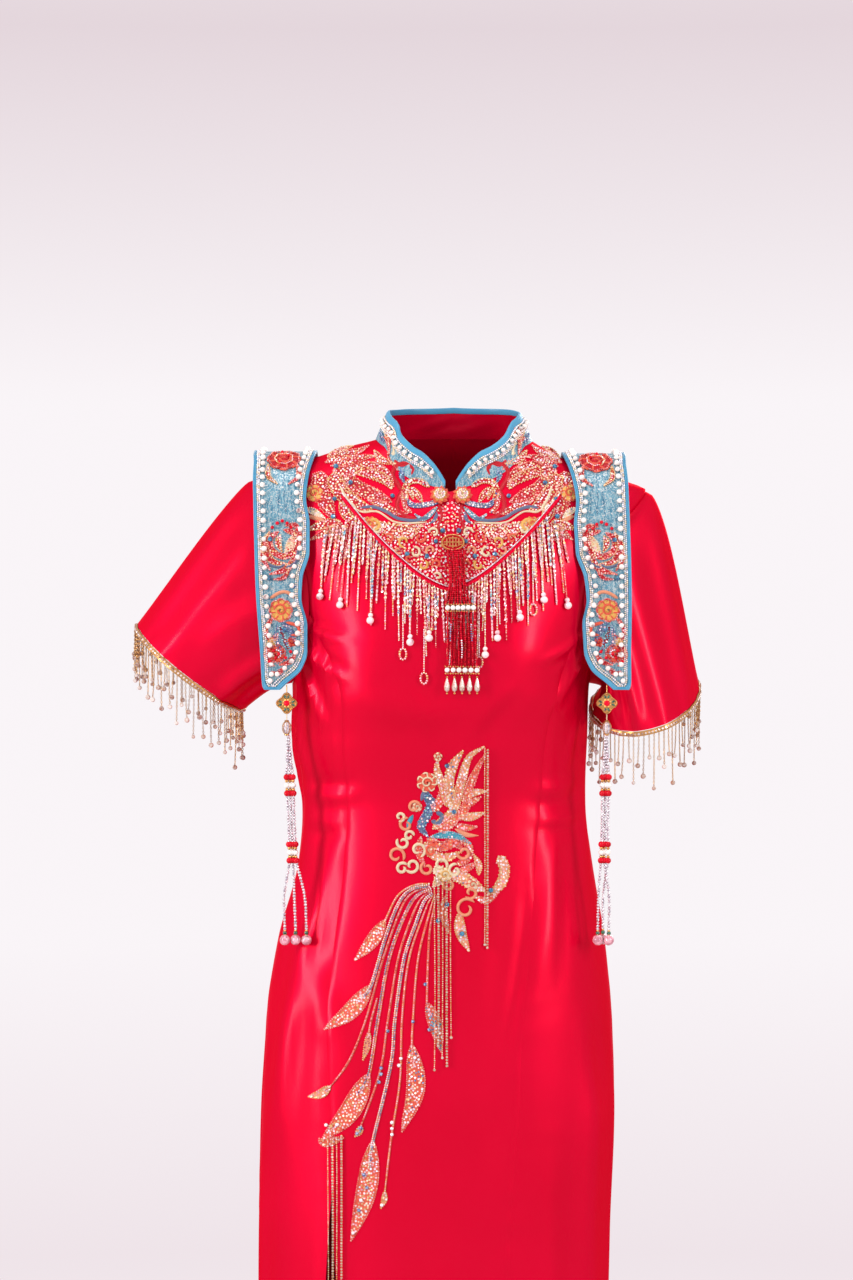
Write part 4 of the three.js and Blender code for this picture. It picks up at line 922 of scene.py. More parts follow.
def brocade():
    """Metallic brocade: fine threads in broken streaks down the cloth, with painted glints of lurex."""
    woven = Finish("blue brocade", Specular_IOR_Level=0.5)
    threads = woven.noise(woven.place("UV", (1500, 130, 130)), 1, 2, 0.6)
    bands = woven.noise(woven.place("UV", (420, 40, 40)), 1, 3, 0.6)
    cells = woven.node("ShaderNodeTexVoronoi", out="Color", Vector=woven.place("UV"), Scale=1250.0)
    # A few cells are painted near white as glints of lurex, a painted reflection.
    painted_reflection = woven.ramp(cells, [(0.0, (0, 0, 0)), (0.64, (0, 0, 0)), (0.76, (1, 1, 1))])
    blues = shades(STUDIO, (0.36, 40, 104, 140), (0.5, 96, 164, 190), (0.64, 190, 226, 232))
    woven.show(
        Base_Color=woven.mix(painted_reflection, woven.ramp(threads * 0.55 + bands * 0.45, blues), rgb(236, 244, 244)),
        Roughness=woven.ramp(cells, [(0.5, (0.5, 0.5, 0.5)), (0.8, (0.16, 0.16, 0.16))]),
        Metallic=0.15 + threads * 0.3,
    )
    woven.shape(threads * 0.7 + bands * 0.3, 0.4, 0.9)
    return woven.material


def blue_satin():
    """Plain blue satin, cut on the bias and folded over an edge."""
    satin = Finish("blue satin", Specular_IOR_Level=0.4)
    rib = satin.noise(satin.place(scale=(900, 900, 900), turn=(0.5, 0.7, 0)), 1.4, 2)
    soft = satin.noise(satin.place(), 55, 3)
    tone = satin.mix(soft * 0.8, rgb(34, 130, 176, 0.7), rgb(84, 176, 214, 0.7))
    satin.show(Base_Color=satin.mix(rib * 0.3, tone, rgb(150, 214, 240, 0.7)), Roughness=0.34 + rib * 0.14)
    satin.shape(rib * 0.4 + soft * 0.6, 0.3, 0.5)
    return satin.material


BROCADE, BLUE_SATIN = (brocade(), "blue_brocade"), (blue_satin(), "blue_satin")


def collar():
    share = np.linspace(0, 1, 16)[:, None]
    foot = (binding_foot(COLLAR_ROUND) - 0.3) * share
    wave = 0.18 * np.sin(COLLAR_ROUND / 7 + 9 * share) * np.sin(np.pi * share)
    layers = [collar_point(COLLAR_ROUND, foot, inward + wave) for inward in (0.0, 1.3)]
    far = np.broadcast_to(lengths(layers[0][0]), foot.shape)
    uv = np.tile(np.stack([far, foot], -1).reshape(-1, 2), (2, 1))
    made = piece("collar_cloth", *shell(*layers), BROCADE, ["collar"], uv)
    foot = foot - 0.9 * (1 - share)
    lined = [collar_point(COLLAR_ROUND, foot, inward + wave) for inward in (1.35, COLLAR_THICK)]
    lining = piece("collar_lining", *shell(*lined), RED_SATIN)
    profile = [
        (0, -0.4), (0.25, -0.7), (0.75, -0.6), (1.0, 0.1), (1.06, 1.1),
        (1.0, 2.1), (0.7, 2.7), (0.25, 2.7), (0, 2.5), (-0.05, 1.1),
    ]
    low = binding_foot(COLLAR_ROUND)
    tall = COLLAR["tall"](np.abs(COLLAR_ROUND)) - low
    rings = [collar_point(COLLAR_ROUND, low + tall * min(up, 1.0), inward) for up, inward in profile]
    rings = np.array(rings)
    rings[4, :, 2] += 0.35
    bound = piece("collar_bound", *tube_grid(rings.transpose(1, 0, 2)), BLUE_SATIN, ["collar_binding"])


def collar_row(below, lift, front, shade):
    """A line round the collar, below the foot of its binding."""
    angle = COLLAR_ROUND[np.abs(COLLAR_ROUND) > front]
    return (*on_collar(angle, np.maximum(binding_foot(angle) - below, 0.6), lift), shade)


collar()
rows("collar_pearls", [collar_row(3.9, 2.2, 5.5, 0.0)], ROUND, 7.2, 4.9, PEARL, mottle=0.2)
seeds = [collar_row(below, 1.1, 5, 0.6) for below in (0.6, 7.2, 9.0)]
rows("collar_seeds", seeds, SEED, 2.3, 2.3, (BEADS, "gold"), seed=4)

# ---------------- yoke
# A deep yoke worked straight on the satin: raised feathers and scrolls of coral, cream and
# slate silk, laid cords, and a filling of sequins and seed beads down to a soft V.

STEP_X, STEP_Z = 2.0, 2.5
FRONT_X, FRONT_Z = np.arange(-152.0, 153.0, STEP_X), np.arange(-1002.0, 6.0, STEP_Z)


def front_depths():
    """How far the worn front stands before the neck, over x and z."""
    around = np.linspace(-86, 86, 259)
    grid = cloth(*np.broadcast_arrays(around[None, :], FRONT_Z[:, None]))
    y, z = (np.array([np.interp(FRONT_X, row[:, 0], row[:, k]) for row in grid]) for k in (1, 2))
    return np.array([np.interp(FRONT_Z, z[:, i], y[:, i]) for i in range(len(FRONT_X))]).T


FRONT_Y = front_depths()


def on_front(x, z, lift=0.0):
    """Points at x and z, lift out from the worn front, and the ways that it faces."""
    x, z, lift = np.broadcast_arrays(np.asarray(x, float), z, lift)
    u = np.clip((x - FRONT_X[0]) / STEP_X, 0, len(FRONT_X) - 1.001)
    v = np.clip((z - FRONT_Z[0]) / STEP_Z, 0, len(FRONT_Z) - 1.001)
    i, j = u.astype(int), v.astype(int)
    s, t = u - i, v - j
    a, b, c, d = FRONT_Y[j, i], FRONT_Y[j, i + 1], FRONT_Y[j + 1, i], FRONT_Y[j + 1, i + 1]
    y = (a * (1 - s) + b * s) * (1 - t) + (c * (1 - s) + d * s) * t
    across, up = (b - a) * (1 - t) + (d - c) * t, (c - a) * (1 - s) + (d - b) * s
    facing = unit(np.stack([across / STEP_X, -np.ones_like(y), up / STEP_Z], -1))
    return np.stack([x, y, z], -1) + facing * lift[..., None], facing


def on_plate(spot, level, up, facing):
    """A flat face to work on, as on_front."""

    def on(x, z, lift=0.0):
        x, z, lift = (v[..., None] for v in np.broadcast_arrays(np.asarray(x, float), z, lift))
        return spot + x * level + z * up + lift * facing, np.broadcast_to(facing, (*x.shape[:-1], 3))

    return on


def oval(count, wide, tall, closed=True):
    """Places round an oval, whose first comes again where it is closed."""
    a = np.linspace(0, 2 * np.pi, count, endpoint=closed)
    return np.stack([wide * np.cos(a), tall * np.sin(a)])


def spots(on, places, lift, shade=0.5):
    """Lines for rows() that hold one small piece at each of some places on a face."""
    return singles(*on(*np.array(places, float).T, lift), shade)


def flow(points, step=1.6):
    """A smooth line through points, in even steps."""
    p = np.array(points, float)
    if len(p) == 2:
        p = np.array([p[0], (p[0] + p[1]) / 2, p[1]])
    ends = np.concatenate([[2 * p[0] - p[1]], p, [2 * p[-1] - p[-2]]])
    t = np.linspace(0, 1, 16, endpoint=False)[:, None]
    parts = []
    for a, b, c, d in zip(ends, ends[1:], ends[2:], ends[3:]):
        bends = (2 * a - 5 * b + 4 * c - d) * t**2 + (3 * b - a - 3 * c + d) * t**3
        parts.append(0.5 * (2 * b + (c - a) * t + bends))
    line = np.concatenate([*parts, p[-1:]])
    far = lengths(line)
    return sampled(far, np.linspace(0, far[-1], max(int(far[-1] / step), 4) + 1), line)


def spiral(x, z, radius, start, turns, inner=0.2):
    """A curl round a middle, from its outer end inwards, with start and turns in turns."""
    t = np.linspace(0, 1, max(int(28 * turns), 10))
    a = 2 * np.pi * (start + turns * t)
    r = radius * (1 - (1 - inner) * t)
    return np.stack([x + r * np.cos(a), z + r * np.sin(a)], -1)


SHAPES = {
    "leaf": lambda t: np.sin(np.pi * t**0.8) ** 0.85,
    "plume": lambda t: np.minimum(1, 1.35 * np.sin(np.pi * t**0.62) ** 0.7),
    "rope": lambda t: np.minimum(1, 3.2 * np.sin(np.pi * t)) ** 0.5,
}
THREAD_COLOURS = {
    "dark": (130, 2, 22), "red": (186, 4, 30), "coral": (244, 92, 70), "salmon": (252, 150, 118),
    "cream": (255, 222, 184), "slate": (84, 110, 146), "teal": (44, 156, 184), "gold": (240, 172, 92),
}
THREAD_STOPS, THREAD = palette(THREAD_COLOURS, TRIMMINGS)
EDGE = {"salmon": "gold", "slate": "blue", "dark": "teal"}  # beads that edge a band unlike its thread


def silk():
    """Satin stitch in rayon thread: slanting stitches side by side across each band."""
    thread = Finish("silk thread", Specular_IOR_Level=0.4)
    tone = thread.ramp(thread.attribute("shade"), THREAD_STOPS, True)
    values = {"Vector": thread.place("UV", turn=(0, 0, 0.6)), "Scale": 560, "Distortion": 1.2, "Detail": 2}
    stitches = thread.node("ShaderNodeTexWave", values, "Fac", wave_type="BANDS", bands_direction="X")
    uneven = thread.noise(thread.place(), 210, 3)
    # Painted highlight: warm white overlaid on the stitches.
    lit = thread.mix(stitches * 0.6 + uneven * 0.3, tone, (1, 0.9, 0.8), "OVERLAY")
    # Darker red between the stitches: partly the red ground showing through, partly painted shade.
    base = thread.mix((1 - stitches) * 0.3, lit, rgb(140, 4, 22))
    thread.show(Base_Color=base, Roughness=0.36 + stitches * 0.2)
    thread.shape(stitches * 0.7 + uneven * 0.3, 0.5, 0.9)
    return thread.material


SILK = silk(), "embroidery"
SEQUIN = template("sequin", *ringed([(0, -0.1), (0.5, -0.02), (0.42, 0.14), (0, -0.02)], 6), flat=True)
BUGLE = template("bugle", *ringed([(0, -0.5), (0.3, -0.5), (0.3, 0.5), (0, 0.5)], 6, axis=0))
CONE_SIDE = [(0, -0.1), (0.5, -0.05), (0.42, 0.25), (0.12, 0.5), (0, 0.52)]
CONE = template("cone", *ringed(CONE_SIDE, 8), flat=True)
BLUES = shades(STUDIO, (0, 10, 74, 140), (1, 24, 110, 170))
BLUE_GLASS = glassy("blue glass", BLUES, rgb(96, 190, 222), 0.6, 500, 0.08, 0.5, Coat_Weight=0.8), "crystal"
SEWN = BEADS, "embroidery"
RING = [(-1, 0.0), (-0.62, 0.8), (0, 1.0), (0.62, 0.8), (1, 0.0), (0, -0.1)]  # round a band of thread


class Embroidery:
    """Raised bands of thread on one face of the dress, gathered into one mesh. A filled band
    is a flat ground with sequins and beads on it, edged with beads."""

    def __init__(self, on, mirror=lambda line: line, grounds=("red", "red")):
        self.on, self.mirror, self.grounds = on, mirror, dict(zip(("coral", "salmon"), grounds))
        self.points, self.faces, self.shade, self.uv, self.fills, self.edges = [], [], [], [], [], []

    def band(self, points, wide, shade, shape="leaf", filled=None, high=1.0, lift=0.15, step=2.0):
        line = self.mirror(flow(points, step))
        t = np.linspace(0.0, 1.0, len(line))
        way = unit(np.gradient(line, axis=0))
        across = np.stack([-way[:, 1], way[:, 0]], -1)
        half = np.maximum(wide / 2 * SHAPES[shape](t), 0.25)
        if shape == "plume":
            half = half * (1 + 0.12 * (-1) ** np.arange(len(line)))
        rise = high * (0.35 if filled else 1.0)
        rounded = rise * np.minimum(1, half / 1.2) ** 0.5

        def beside(share, up):
            return self.on(*(line + across * (half * share)[:, None]).T, up)

        rings = np.array([beside(share, lift + rounded * up)[0] for share, up in RING])
        mesh, faces = tube_grid(rings.transpose(1, 0, 2))
        start = sum(len(p) for p in self.points)
        self.points.append(mesh)
        self.faces += [[start + i for i in f] for f in faces]
        off = np.outer(half, [share for share, _ in RING]).ravel()
        self.uv.append(np.stack([np.repeat(lengths(line), len(RING)), off], -1))
        ground = self.grounds.get(shade, shade) if filled else shade
        self.shade.append(np.full(len(mesh), THREAD[ground]))
        if filled:
            inside = [beside(share, lift + rise + 0.1)[0] for share in (-0.8, 0, 0.8)]
            self.fills.append((np.array(inside).transpose(1, 0, 2), filled))
            edge = EDGE.get(shade, shade)
            self.edges += [(*beside(share, lift + rise * 0.6 + 0.3), edge) for share in (-1, 1)]

    def bands(self, table, high, cord_high, lift=0.15):
        """Bands from rows: a width, words for the thread, shape and any beads, and the line."""
        for wide, words, *line in table:
            shade, shape, *filled = words.split()
            tall = cord_high if shape == "rope" else high
            self.band(np.reshape(line, (-1, 2)), wide, shade, shape, *(filled or [None]), tall, lift)
    def blossom(self, x, z, radius, petals, shade, middle="cream", turn=0.0):
        """A round flower: petals that overlap, edged in the other colour, and a curled middle."""

        def at(share, angle):
            return x + share * radius * np.cos(angle), z + share * radius * np.sin(angle)

        for i in range(petals):
            a = 2 * np.pi * (i / petals + turn)
            self.band([at(0.12, a), at(0.6, a + 0.5), at(1, a)], 0.85 * radius, shade, high=1.1, step=1.0)
            edge = [at(0.5, a - 0.4), at(1, a - 0.2), at(1.02, a + 0.25)]
            self.band(edge, 0.18 * radius, middle, "rope", high=1.5, lift=0.5, step=0.8)
        for reach, turns, wide, of, high, lift, step in (
            (0.62, 1.3, 0.22, middle, 1.7, 0.7, 1.0),
            (0.26, 0.9, 0.26, shade, 2.2, 0.9, 0.8),
        ):
            curl = spiral(x, z, reach * radius, turn, turns)
            self.band(curl, wide * radius, of, "rope", None, high, lift, step)

    def blossoms(self, table):
        """Flowers, of which only the middles go through the mirror."""
        mirror, self.mirror = self.mirror, lambda line: line
        for x, z, *flower in table:
            self.blossom(*mirror(np.array([[x, z]], float))[0], *flower)

    def done(self, name, nodes, seed, size=2.1):
        points, uv, shade = (np.concatenate(v) for v in (self.points, self.uv, self.shade))
        piece(name, points, self.faces, SILK, nodes, uv, shade=shade)
        if self.fills:
            look = (SEQUIN, size * 1.16, size * 1.15, SEWN)
            sprinkle(f"{name}_sequins", self.fills, *look, mottle=0.24, seed=seed)
            rows(f"{name}_edges", self.edges, SEED, 2.2, 2.0, SEWN, mottle=0.06, seed=seed)


YOKE = {"middle": -4, "tip": -148, "rise": 98, "round": 1.5}
YOKE_SIDES = {"right": {"half": 112, "wing": 134}, "left": {"half": 113, "wing": 118}}
WING_FROM, WING = 84, 134  # how far out the wings of the yoke begin and end as they are drawn
FILLING_TOP = [(0, -58), (10, -64), (16, -76), (30, -84), (60, -82), (92, -76), (104, -68)]


def yoke_foot(off, half):
    return YOKE["tip"] + YOKE["rise"] * (off / half) ** YOKE["round"]


# The sprig at each side of the collar's front, by degrees round it and heights, as below.
SPRIG = [
    (4.5, "coral leaf cream", 30, 2, 38, 7, 47, 8),
    (4.6, "coral leaf gold", 33, 5, 40, 13, 46, 19),
    (4.4, "salmon leaf cream", 38, 9, 50, 14, 58, 19),
    (3.6, "salmon leaf", 34, 12, 34, 18, 38, 23),
    (3.8, "slate leaf blue", 44, 4, 54, 7, 63, 9),
    (2.6, "cream rope", 27, 6, 25, 10, 29, 13, 33, 10),
]
# One half of the yoke. Each band is its width, its thread, shape and any beads on it, and its
# line as distances out from the middle and heights.
YOKE_BANDS = [
    (9, "coral leaf cream", 128, -18, 112, -12, 94, -6, 84, 0),
    (7, "salmon leaf pink", 126, -12, 114, -4, 100, 0),
    (8, "coral leaf gold", 122, -22, 106, -18, 88, -13, 76, -12),
    (10, "coral plume cream", 120, -27, 102, -28, 84, -22, 68, -24),
    (10, "salmon plume cream", 96, -26, 82, -30, 68, -36, 60, -46),
    (15, "salmon plume cream", 120, -30, 114, -46, 100, -60, 80, -68),
    (13, "coral plume pink", 108, -34, 92, -46, 74, -54, 60, -60),
    (8, "coral leaf cream", 84, -58, 72, -62, 58, -70, 44, -72),
    (15, "coral plume gold", 132, -28, 134, -44, 126, -62, 118, -78),
    (11, "salmon leaf cream", 112, -60, 104, -74, 96, -84),
    (6, "cream leaf silver", 148, -66, 138, -70, 128, -76),
    (5, "salmon leaf", 146, -74, 136, -76, 126, -80),
    (9, "salmon leaf cream", 112, -80, 126, -82, 146, -88),
    (8, "coral leaf gold", 110, -82, 124, -90, 142, -98),
    (7, "coral leaf pink", 104, -84, 114, -94, 122, -102),
    (8.5, "coral leaf gold", 72, -12, 74, -22, 64, -32, 58, -44),
    (6, "salmon leaf cream", 78, -6, 70, -16, 56, -20),
    (7, "coral leaf coral", 62, -2, 60, -14, 54, -26),
    (4.2, "red rope", 58, -16, 50, -22, 42, -20, 39, -27),
    (4.4, "red rope", 40, -32, 38, -24, 46, -19, 56, -23, 59, -32, 54, -41, 49, -50),
    (4.6, "slate leaf blue", 49, -24, 50, -32, 47, -40),
    (4.6, "red rope", 48, -46, 53, -56, 54, -66, 46, -75, 34, -78),
    (3.4, "coral rope silver", 50, -50, 48, -58, 46, -66, 40, -71),
    (5, "salmon rope silver", 22, -44, 32, -38, 43, -40, 47, -50, 44, -58),
    (6, "salmon leaf cream", 29, -60, 34, -52, 41, -47, 38, -57),
    (4.4, "slate rope silver", 10, -58, 20, -62, 32, -64, 40, -63, 43, -58),
    (4.4, "teal leaf silver", 14, -66, 22, -74, 29, -78, 36, -73),
    (4, "slate leaf", 14, -70, 16, -78, 22, -83),
    (3.4, "slate rope", 20, -76, 37, -79, 53, -77, 65, -70, 78, -65, 92, -66),
    (1.8, "cream rope", 24, -81, 44, -82, 58, -80, 74, -70, 90, -70, 104, -62),
    (13, "salmon leaf cream", 30, -84, 44, -92, 64, -88, 80, -78),
    (3, "cream rope", 96, -66, 106, -56, 112, -44),
    (4, "gold rope", 84, -84, 78, -78, 72, -84, 78, -90),
    (3, "red rope", 12, -62, 9, -74, 13, -86, 10, -96),
]
# Curls in the filling: middle, radius and thread, each turned further than the one before.
YOKE_CURLS = [
    (17, -92, 5.6, "cream"), (31, -97, 6.2, "coral"), (47, -101, 6, "gold"), (62, -98, 5.4, "coral"),
    (75, -88, 4.2, "cream"), (20, -110, 5.4, "salmon"), (36, -112, 5.8, "cream"),
    (53, -110, 3.8, "salmon"), (14, -124, 4.6, "coral"), (28, -125, 5, "gold"), (42, -118, 3.6, "coral"),
    (13, -136, 3.8, "cream"),
]
# Flowers: middle, radius, how many petals, and the threads of the petals and the middle.
YOKE_FLOWERS = [
    (139, -50, 8.5, 6, "gold", "coral"), (82, -82, 6.5, 6, "coral", "gold"),
    (120, -88, 5, 5, "coral", "cream"),
]
YOKE_CONES = [
    (59, -54), (118, -57), (119, -75), (117, -23), (44, -114), (24, -116), (15, -101), (8, -90), (102, -40),
]


def yoke(side, sign):
    half, wing = YOKE_SIDES[side]["half"], YOKE_SIDES[side]["wing"]

    def mirror(line):
        stretch = (wing - WING_FROM) / (WING - WING_FROM)
        reach = np.where(line[:, 0] > WING_FROM, WING_FROM + (line[:, 0] - WING_FROM) * stretch, line[:, 0])
        return np.stack([YOKE["middle"] + sign * reach, line[:, 1]], -1)

    work = Embroidery(on_front, mirror)
    work.bands(YOKE_BANDS, 1.0, 1.5)
    for i, (x, z, radius, shade) in enumerate(YOKE_CURLS):
        work.band(spiral(x, z, radius, 0.37 * i, 0.85, 0.3), 2.3, shade, "rope", high=1.7, lift=0.8, step=1.0)
    work.blossoms(YOKE_FLOWERS)
    work.done(f"yoke_{side}_embroidery", [f"yoke_{side}"], 3)
    off = np.linspace(1, 104, 46)[:, None]
    top = np.interp(off, *np.transpose(FILLING_TOP))
    z = top + (yoke_foot(off, half) + 2 - top) * np.linspace(0, 1, 20)
    patches = [(on_front(YOKE["middle"] + sign * off, z, 0.5)[0], 0.34)]
    sprinkle(f"yoke_{side}_filling", patches, SEQUIN, 3.4, 2.6, SEWN, mottle=0.34, tilt=0.4, seed=5)
    sprinkle(f"yoke_{side}_seeds", patches, SEED, 3.2, 1.9, SEWN, mottle=0.34, seed=8)
    off = np.linspace(2, half - 2, 60)
    x, z = YOKE["middle"] + sign * off, yoke_foot(off, half)
    cord = rope(*on_front(x, z - 2.8, 1.9), 1.8)
    piece(f"yoke_cord_{side}_laid", *cord, RED_SATIN, [f"yoke_cord_{side}"])
    line = (*on_front(x, z + 1.2, 1.3), "silver")
    rows(f"yoke_{side}_line", [line], SEED, 1.6, 1.75, (BEADS, "pink_beads"), mottle=0.05)
    cones = spots(on_front, mirror(np.array(YOKE_CONES, float)), 1.5)
    rows(f"yoke_{side}_cones", cones, CONE, 5, 5.2, BLUE_GLASS, vary=0.12)


def rope(line, facing, radius):
    """A twisted cord along points."""
    side = unit(np.cross(np.gradient(line, axis=0), facing))
    far = lengths(line)
    even = np.linspace(0, far[-1], int(far[-1] / 0.8))
    line, side, up = (sampled(far, even, v) for v in (line, side, unit(facing)))
    a = np.linspace(0, 2 * np.pi, 10, endpoint=False)
    swell = radius * (1 + 0.14 * np.cos(2 * a - 1.7 * even[:, None]))[..., None]
    ring = np.cos(a)[:, None] * side[:, None] + np.sin(a)[:, None] * up[:, None]
    return tube_grid(line[:, None] + swell * ring)


for side, sign in SIDES.items():
    yoke(side, sign)
    sprig = Embroidery(on_collar, lambda line: line * (sign, 1))
    sprig.bands(SPRIG, 1.2, 1.2, 0.3)
    sprig.done(f"collar_sprig_{side}", (), 4, 1.8)

# ---------------- neck rosettes
# Two knotted rosettes of coral ribbon, with beads in their middles, close the neck.

LEVEL_X, UP_Z, AHEAD = np.array([1.0, 0, 0]), np.array([0, 0, 1.0]), np.array([0, -1.0, 0])
ROSETTE = {"x": {"right": -15, "left": 8}, "z": -55, "lift": 4.2, "lean": 0.35}
# Its layers of petals: how many, their reach, width and thread, their lift and turn.
ROSETTE_LAYERS = [
    (9, 10.2, 6.4, "coral", 0.1, 0.0), (8, 7.6, 5.0, "gold", 1.3, 0.06), (6, 5.0, 4.0, "cream", 2.5, 0.02),
]


def rosette(side):
    spot = on_front(ROSETTE["x"][side], ROSETTE["z"], ROSETTE["lift"])[0]
    facing = unit(AHEAD + UP_Z * ROSETTE["lean"])
    on = on_plate(spot, LEVEL_X, np.cross(LEVEL_X, facing), facing)
    work = Embroidery(on)
    for count, reach, wide, shade, lift, turn in ROSETTE_LAYERS:
        for i in range(count):
            a = 2 * np.pi * (i / count + turn)
            bends = ((0.4, a), (0.6 * reach, a + 0.12), (reach, a))
            line = [(r * np.cos(b), r * np.sin(b)) for r, b in bends]
            work.band(line, wide, shade, "plume", None, 1.5, lift, 1.2)
    work.done(f"neck_rosette_{side}_ribbon", [f"neck_rosette_{side}"], 5)
    lines = [(*on(*oval(16, r, r), 5.4 - r / 3), 0.52) for r in (0.3, 2.6, 4.9)]
    rows(f"neck_rosette_{side}_beads", lines, ROUND, 2.1, 2.2, (BEADS, "pearl"), mottle=0.24)


for side in SIDES:
    rosette(side)

# ---------------- yoke fringe
# Strung seed beads and sequins hang from the foot of the yoke in uneven lengths. Some have
# blue lengths or bugles, and the longest end in pink glass balls or small bead loops.

FRINGE_END = curve([(0, -224), (40, -206), (80, -183), (115, -167), (138, -158)])
FRINGE_PITCH = 3.1
FRINGE_WING = 98  # how far out the strands begin to hang from the wings
FRINGE_LENGTHS = (1.0, 0.5, 0.82, 0.42, 0.92, 0.6, 0.74, 0.36)
FRINGE_SHADES = ("cream", "pink", "silver", "pink", "coral", "cream", "gold", "red")
BALL_STRANDS = {
    "right": [(-134, -154), (-114, -163), (-84, -179), (-45, -200), (-26, -196)],
    "left": [(30, -212), (42, -196), (64, -176), (112, -163), (88, -158)],
}
BEAD_LOOPS = {"right": [(-52, -214), (-31, -238)], "left": [(78, -170), (24, -222)]}


def fringe(side, sign):
    half, wing = YOKE_SIDES[side]["half"], YOKE_SIDES[side]["wing"]
    rng = np.random.default_rng(21 if side == "left" else 22)
    seeds, sequins, bugles, loops, balls = [], [], [], [], {4.8: [], 7.4: []}
    t = np.linspace(0, 1, 14)

    def strand(x, top, z, shade, lean=0.0, lift=2.1):
        return (*on_front(x - lean * (1 - t), top + (z - top) * t, lift), shade)

    for i, off in enumerate(np.arange(3.0, wing - 4, FRINGE_PITCH)):
        wing_top = -80 - 0.25 * (off - FRINGE_WING) - 3 * (i % 3)
        top = yoke_foot(off, half) - 4.5 if off < FRINGE_WING else wing_top
        long = (FRINGE_END(off) - top) * FRINGE_LENGTHS[i % 8] * rng.uniform(0.9, 1.06)
        x = YOKE["middle"] + sign * off + rng.uniform(-0.8, 0.8)
        drift = rng.normal(0, 1.6) + sign * (0.06 * off - 2)

        def part(low, high, lift=1.9):
            s = low + (high - low) * t
            return on_front(x + drift * s, top + long * s, lift)

        cut = rng.uniform(0.5, 0.8)
        seeds.append((*part(0.0, 1.0), FRINGE_SHADES[rng.integers(8)]))
        sequins.append((*part(0.0, cut, 2.4), FRINGE_SHADES[rng.integers(6)]))
        if i % 2:
            sequins.append((*part(cut, 1.0, 2.2), FRINGE_SHADES[rng.integers(5)]))
        if i % 9 in (3, 6):
            sequins.append((*part(0.4 * cut, 0.7, 2.9), "blue"))
        if i % 5 == 2:
            bugles.append((*part(cut, 0.95, 2.2), "pink"))
    for x, z in BEAD_LOOPS[side]:
        loops.append((*on_front(*(oval(20, 3.4, 5.6) + [[x], [z]]), 2.2), "pink"))
        seeds.append(strand(x, z + 48, z + 6, "silver"))
    for x, z in BALL_STRANDS[side]:
        off = abs(x - YOKE["middle"])
        far_out = off > FRINGE_WING
        top = -84 if far_out else yoke_foot(off, half) - 4.5
        seeds.append(strand(x, top, z + 5, "coral" if far_out else "cream", 6 * sign * far_out, 2.2))
        for down, size in ((-2.0, 4.8), (-7.6, 7.4)):
            balls[size] += spots(on_front, [(x, z + 5 + down)], size / 2 + 0.4, 0.75)
    name, look = f"yoke_{side}_fringe", (BEADS, "crystal")
    nodes = [f"yoke_fringe_{side}"]
    rows(name, seeds, SEED, 1.72, 1.9, look, nodes=nodes, vary=0.12, mottle=0.1, seed=7)
    rows(f"{name}_sequins", sequins, SEQUIN, 2.1, 3.0, look, vary=0.2, mottle=0.26, twist=1.9, seed=9)
    rows(f"{name}_bugles", bugles, BUGLE, 3.6, 3.4, look, mottle=0.03, seed=2)
    rows(f"{name}_loops", loops, ROUND, 2.3, 2.4, look, mottle=0.14)
    for size, lines in balls.items():
        rows(f"yoke_{side}_balls_{int(size)}", lines, SMOOTH, 5, size, (PEARL[0], "pink_beads"), vary=0.04)


for side, sign in SIDES.items():
    fringe(side, sign)

# ---------------- centre tassel
# A gilt oval plaque with a plain fretted lattice holds a bundle of red glass strands. A row
# of pearls gathers them twice, and five faceted drops hang at the foot.

TASSEL_LIFT = 3.8
# Shades of red glass. The palest stop is a painted glint on the few beads whose tint reaches it.
RUBY_AND_GLINTS = shades(0.8, (0, 150, 0, 14), (0.4, 214, 0, 30), (0.8, 248, 10, 50), (1, 255, 190, 196))
DULL = {"Specular_IOR_Level": 0.12, "Coat_Weight": 0.0}
RED_GLASS = glassy("red glass", RUBY_AND_GLINTS, rgb(255, 60, 80), 0.2, 600, 0.16, **DULL), "red_beads"
DROP = [(0, -0.5), (0.05, -0.48), (0.13, -0.2), (0.2, 0.12), (0.16, 0.34), (0, 0.5)]
DROP_CUT = template("drop", *ringed(DROP, 8, axis=0), flat=True)


def tassel_strands(name, top, bottom, middle, half, counts, seed):
    rng = np.random.default_rng(seed)
    reds, others = [], []
    t = np.linspace(0, 1, 18)
    bow = 1 - 0.25 * np.sin(np.pi * t) * (name == "upper")
    for layer, count in enumerate(counts):
        for i in range(count):
            share = 2 * (i + 0.5) / count - 1
            x = np.interp(t, (0, 1), middle) + share * np.interp(t, (0, 1), half) * bow
            x = x + rng.uniform(0.2, 0.7) * np.sin(rng.uniform(4, 9) * t + rng.uniform(0, 6))
            points, facing = on_front(x, top + (bottom - top) * t, TASSEL_LIFT + 1.4 + 2.0 * layer)
            reds.append((points, facing, rng.uniform(0.3, 0.6)))
            if name == "lower" and layer == 1 and i % 3 == 1:
                part = slice(4, 10) if i % 2 else slice(9, 15)
                shade = "blue" if i % 2 else "silver"
                others.append((points[part] + 0.5 * AHEAD, facing[part], shade))
    look, nodes = (SEED, 2.0, 2.4, RED_GLASS), [f"tassel_{name}"]
    rows(f"tassel_{name}_strands", reds, *look, nodes=nodes, vary=0.1, mottle=0.34, seed=seed)
    if others:
        rows("tassel_lower_beads", others, SEED, 2.1, 2.2, (BEADS, "crystal"), mottle=0.03, seed=seed)


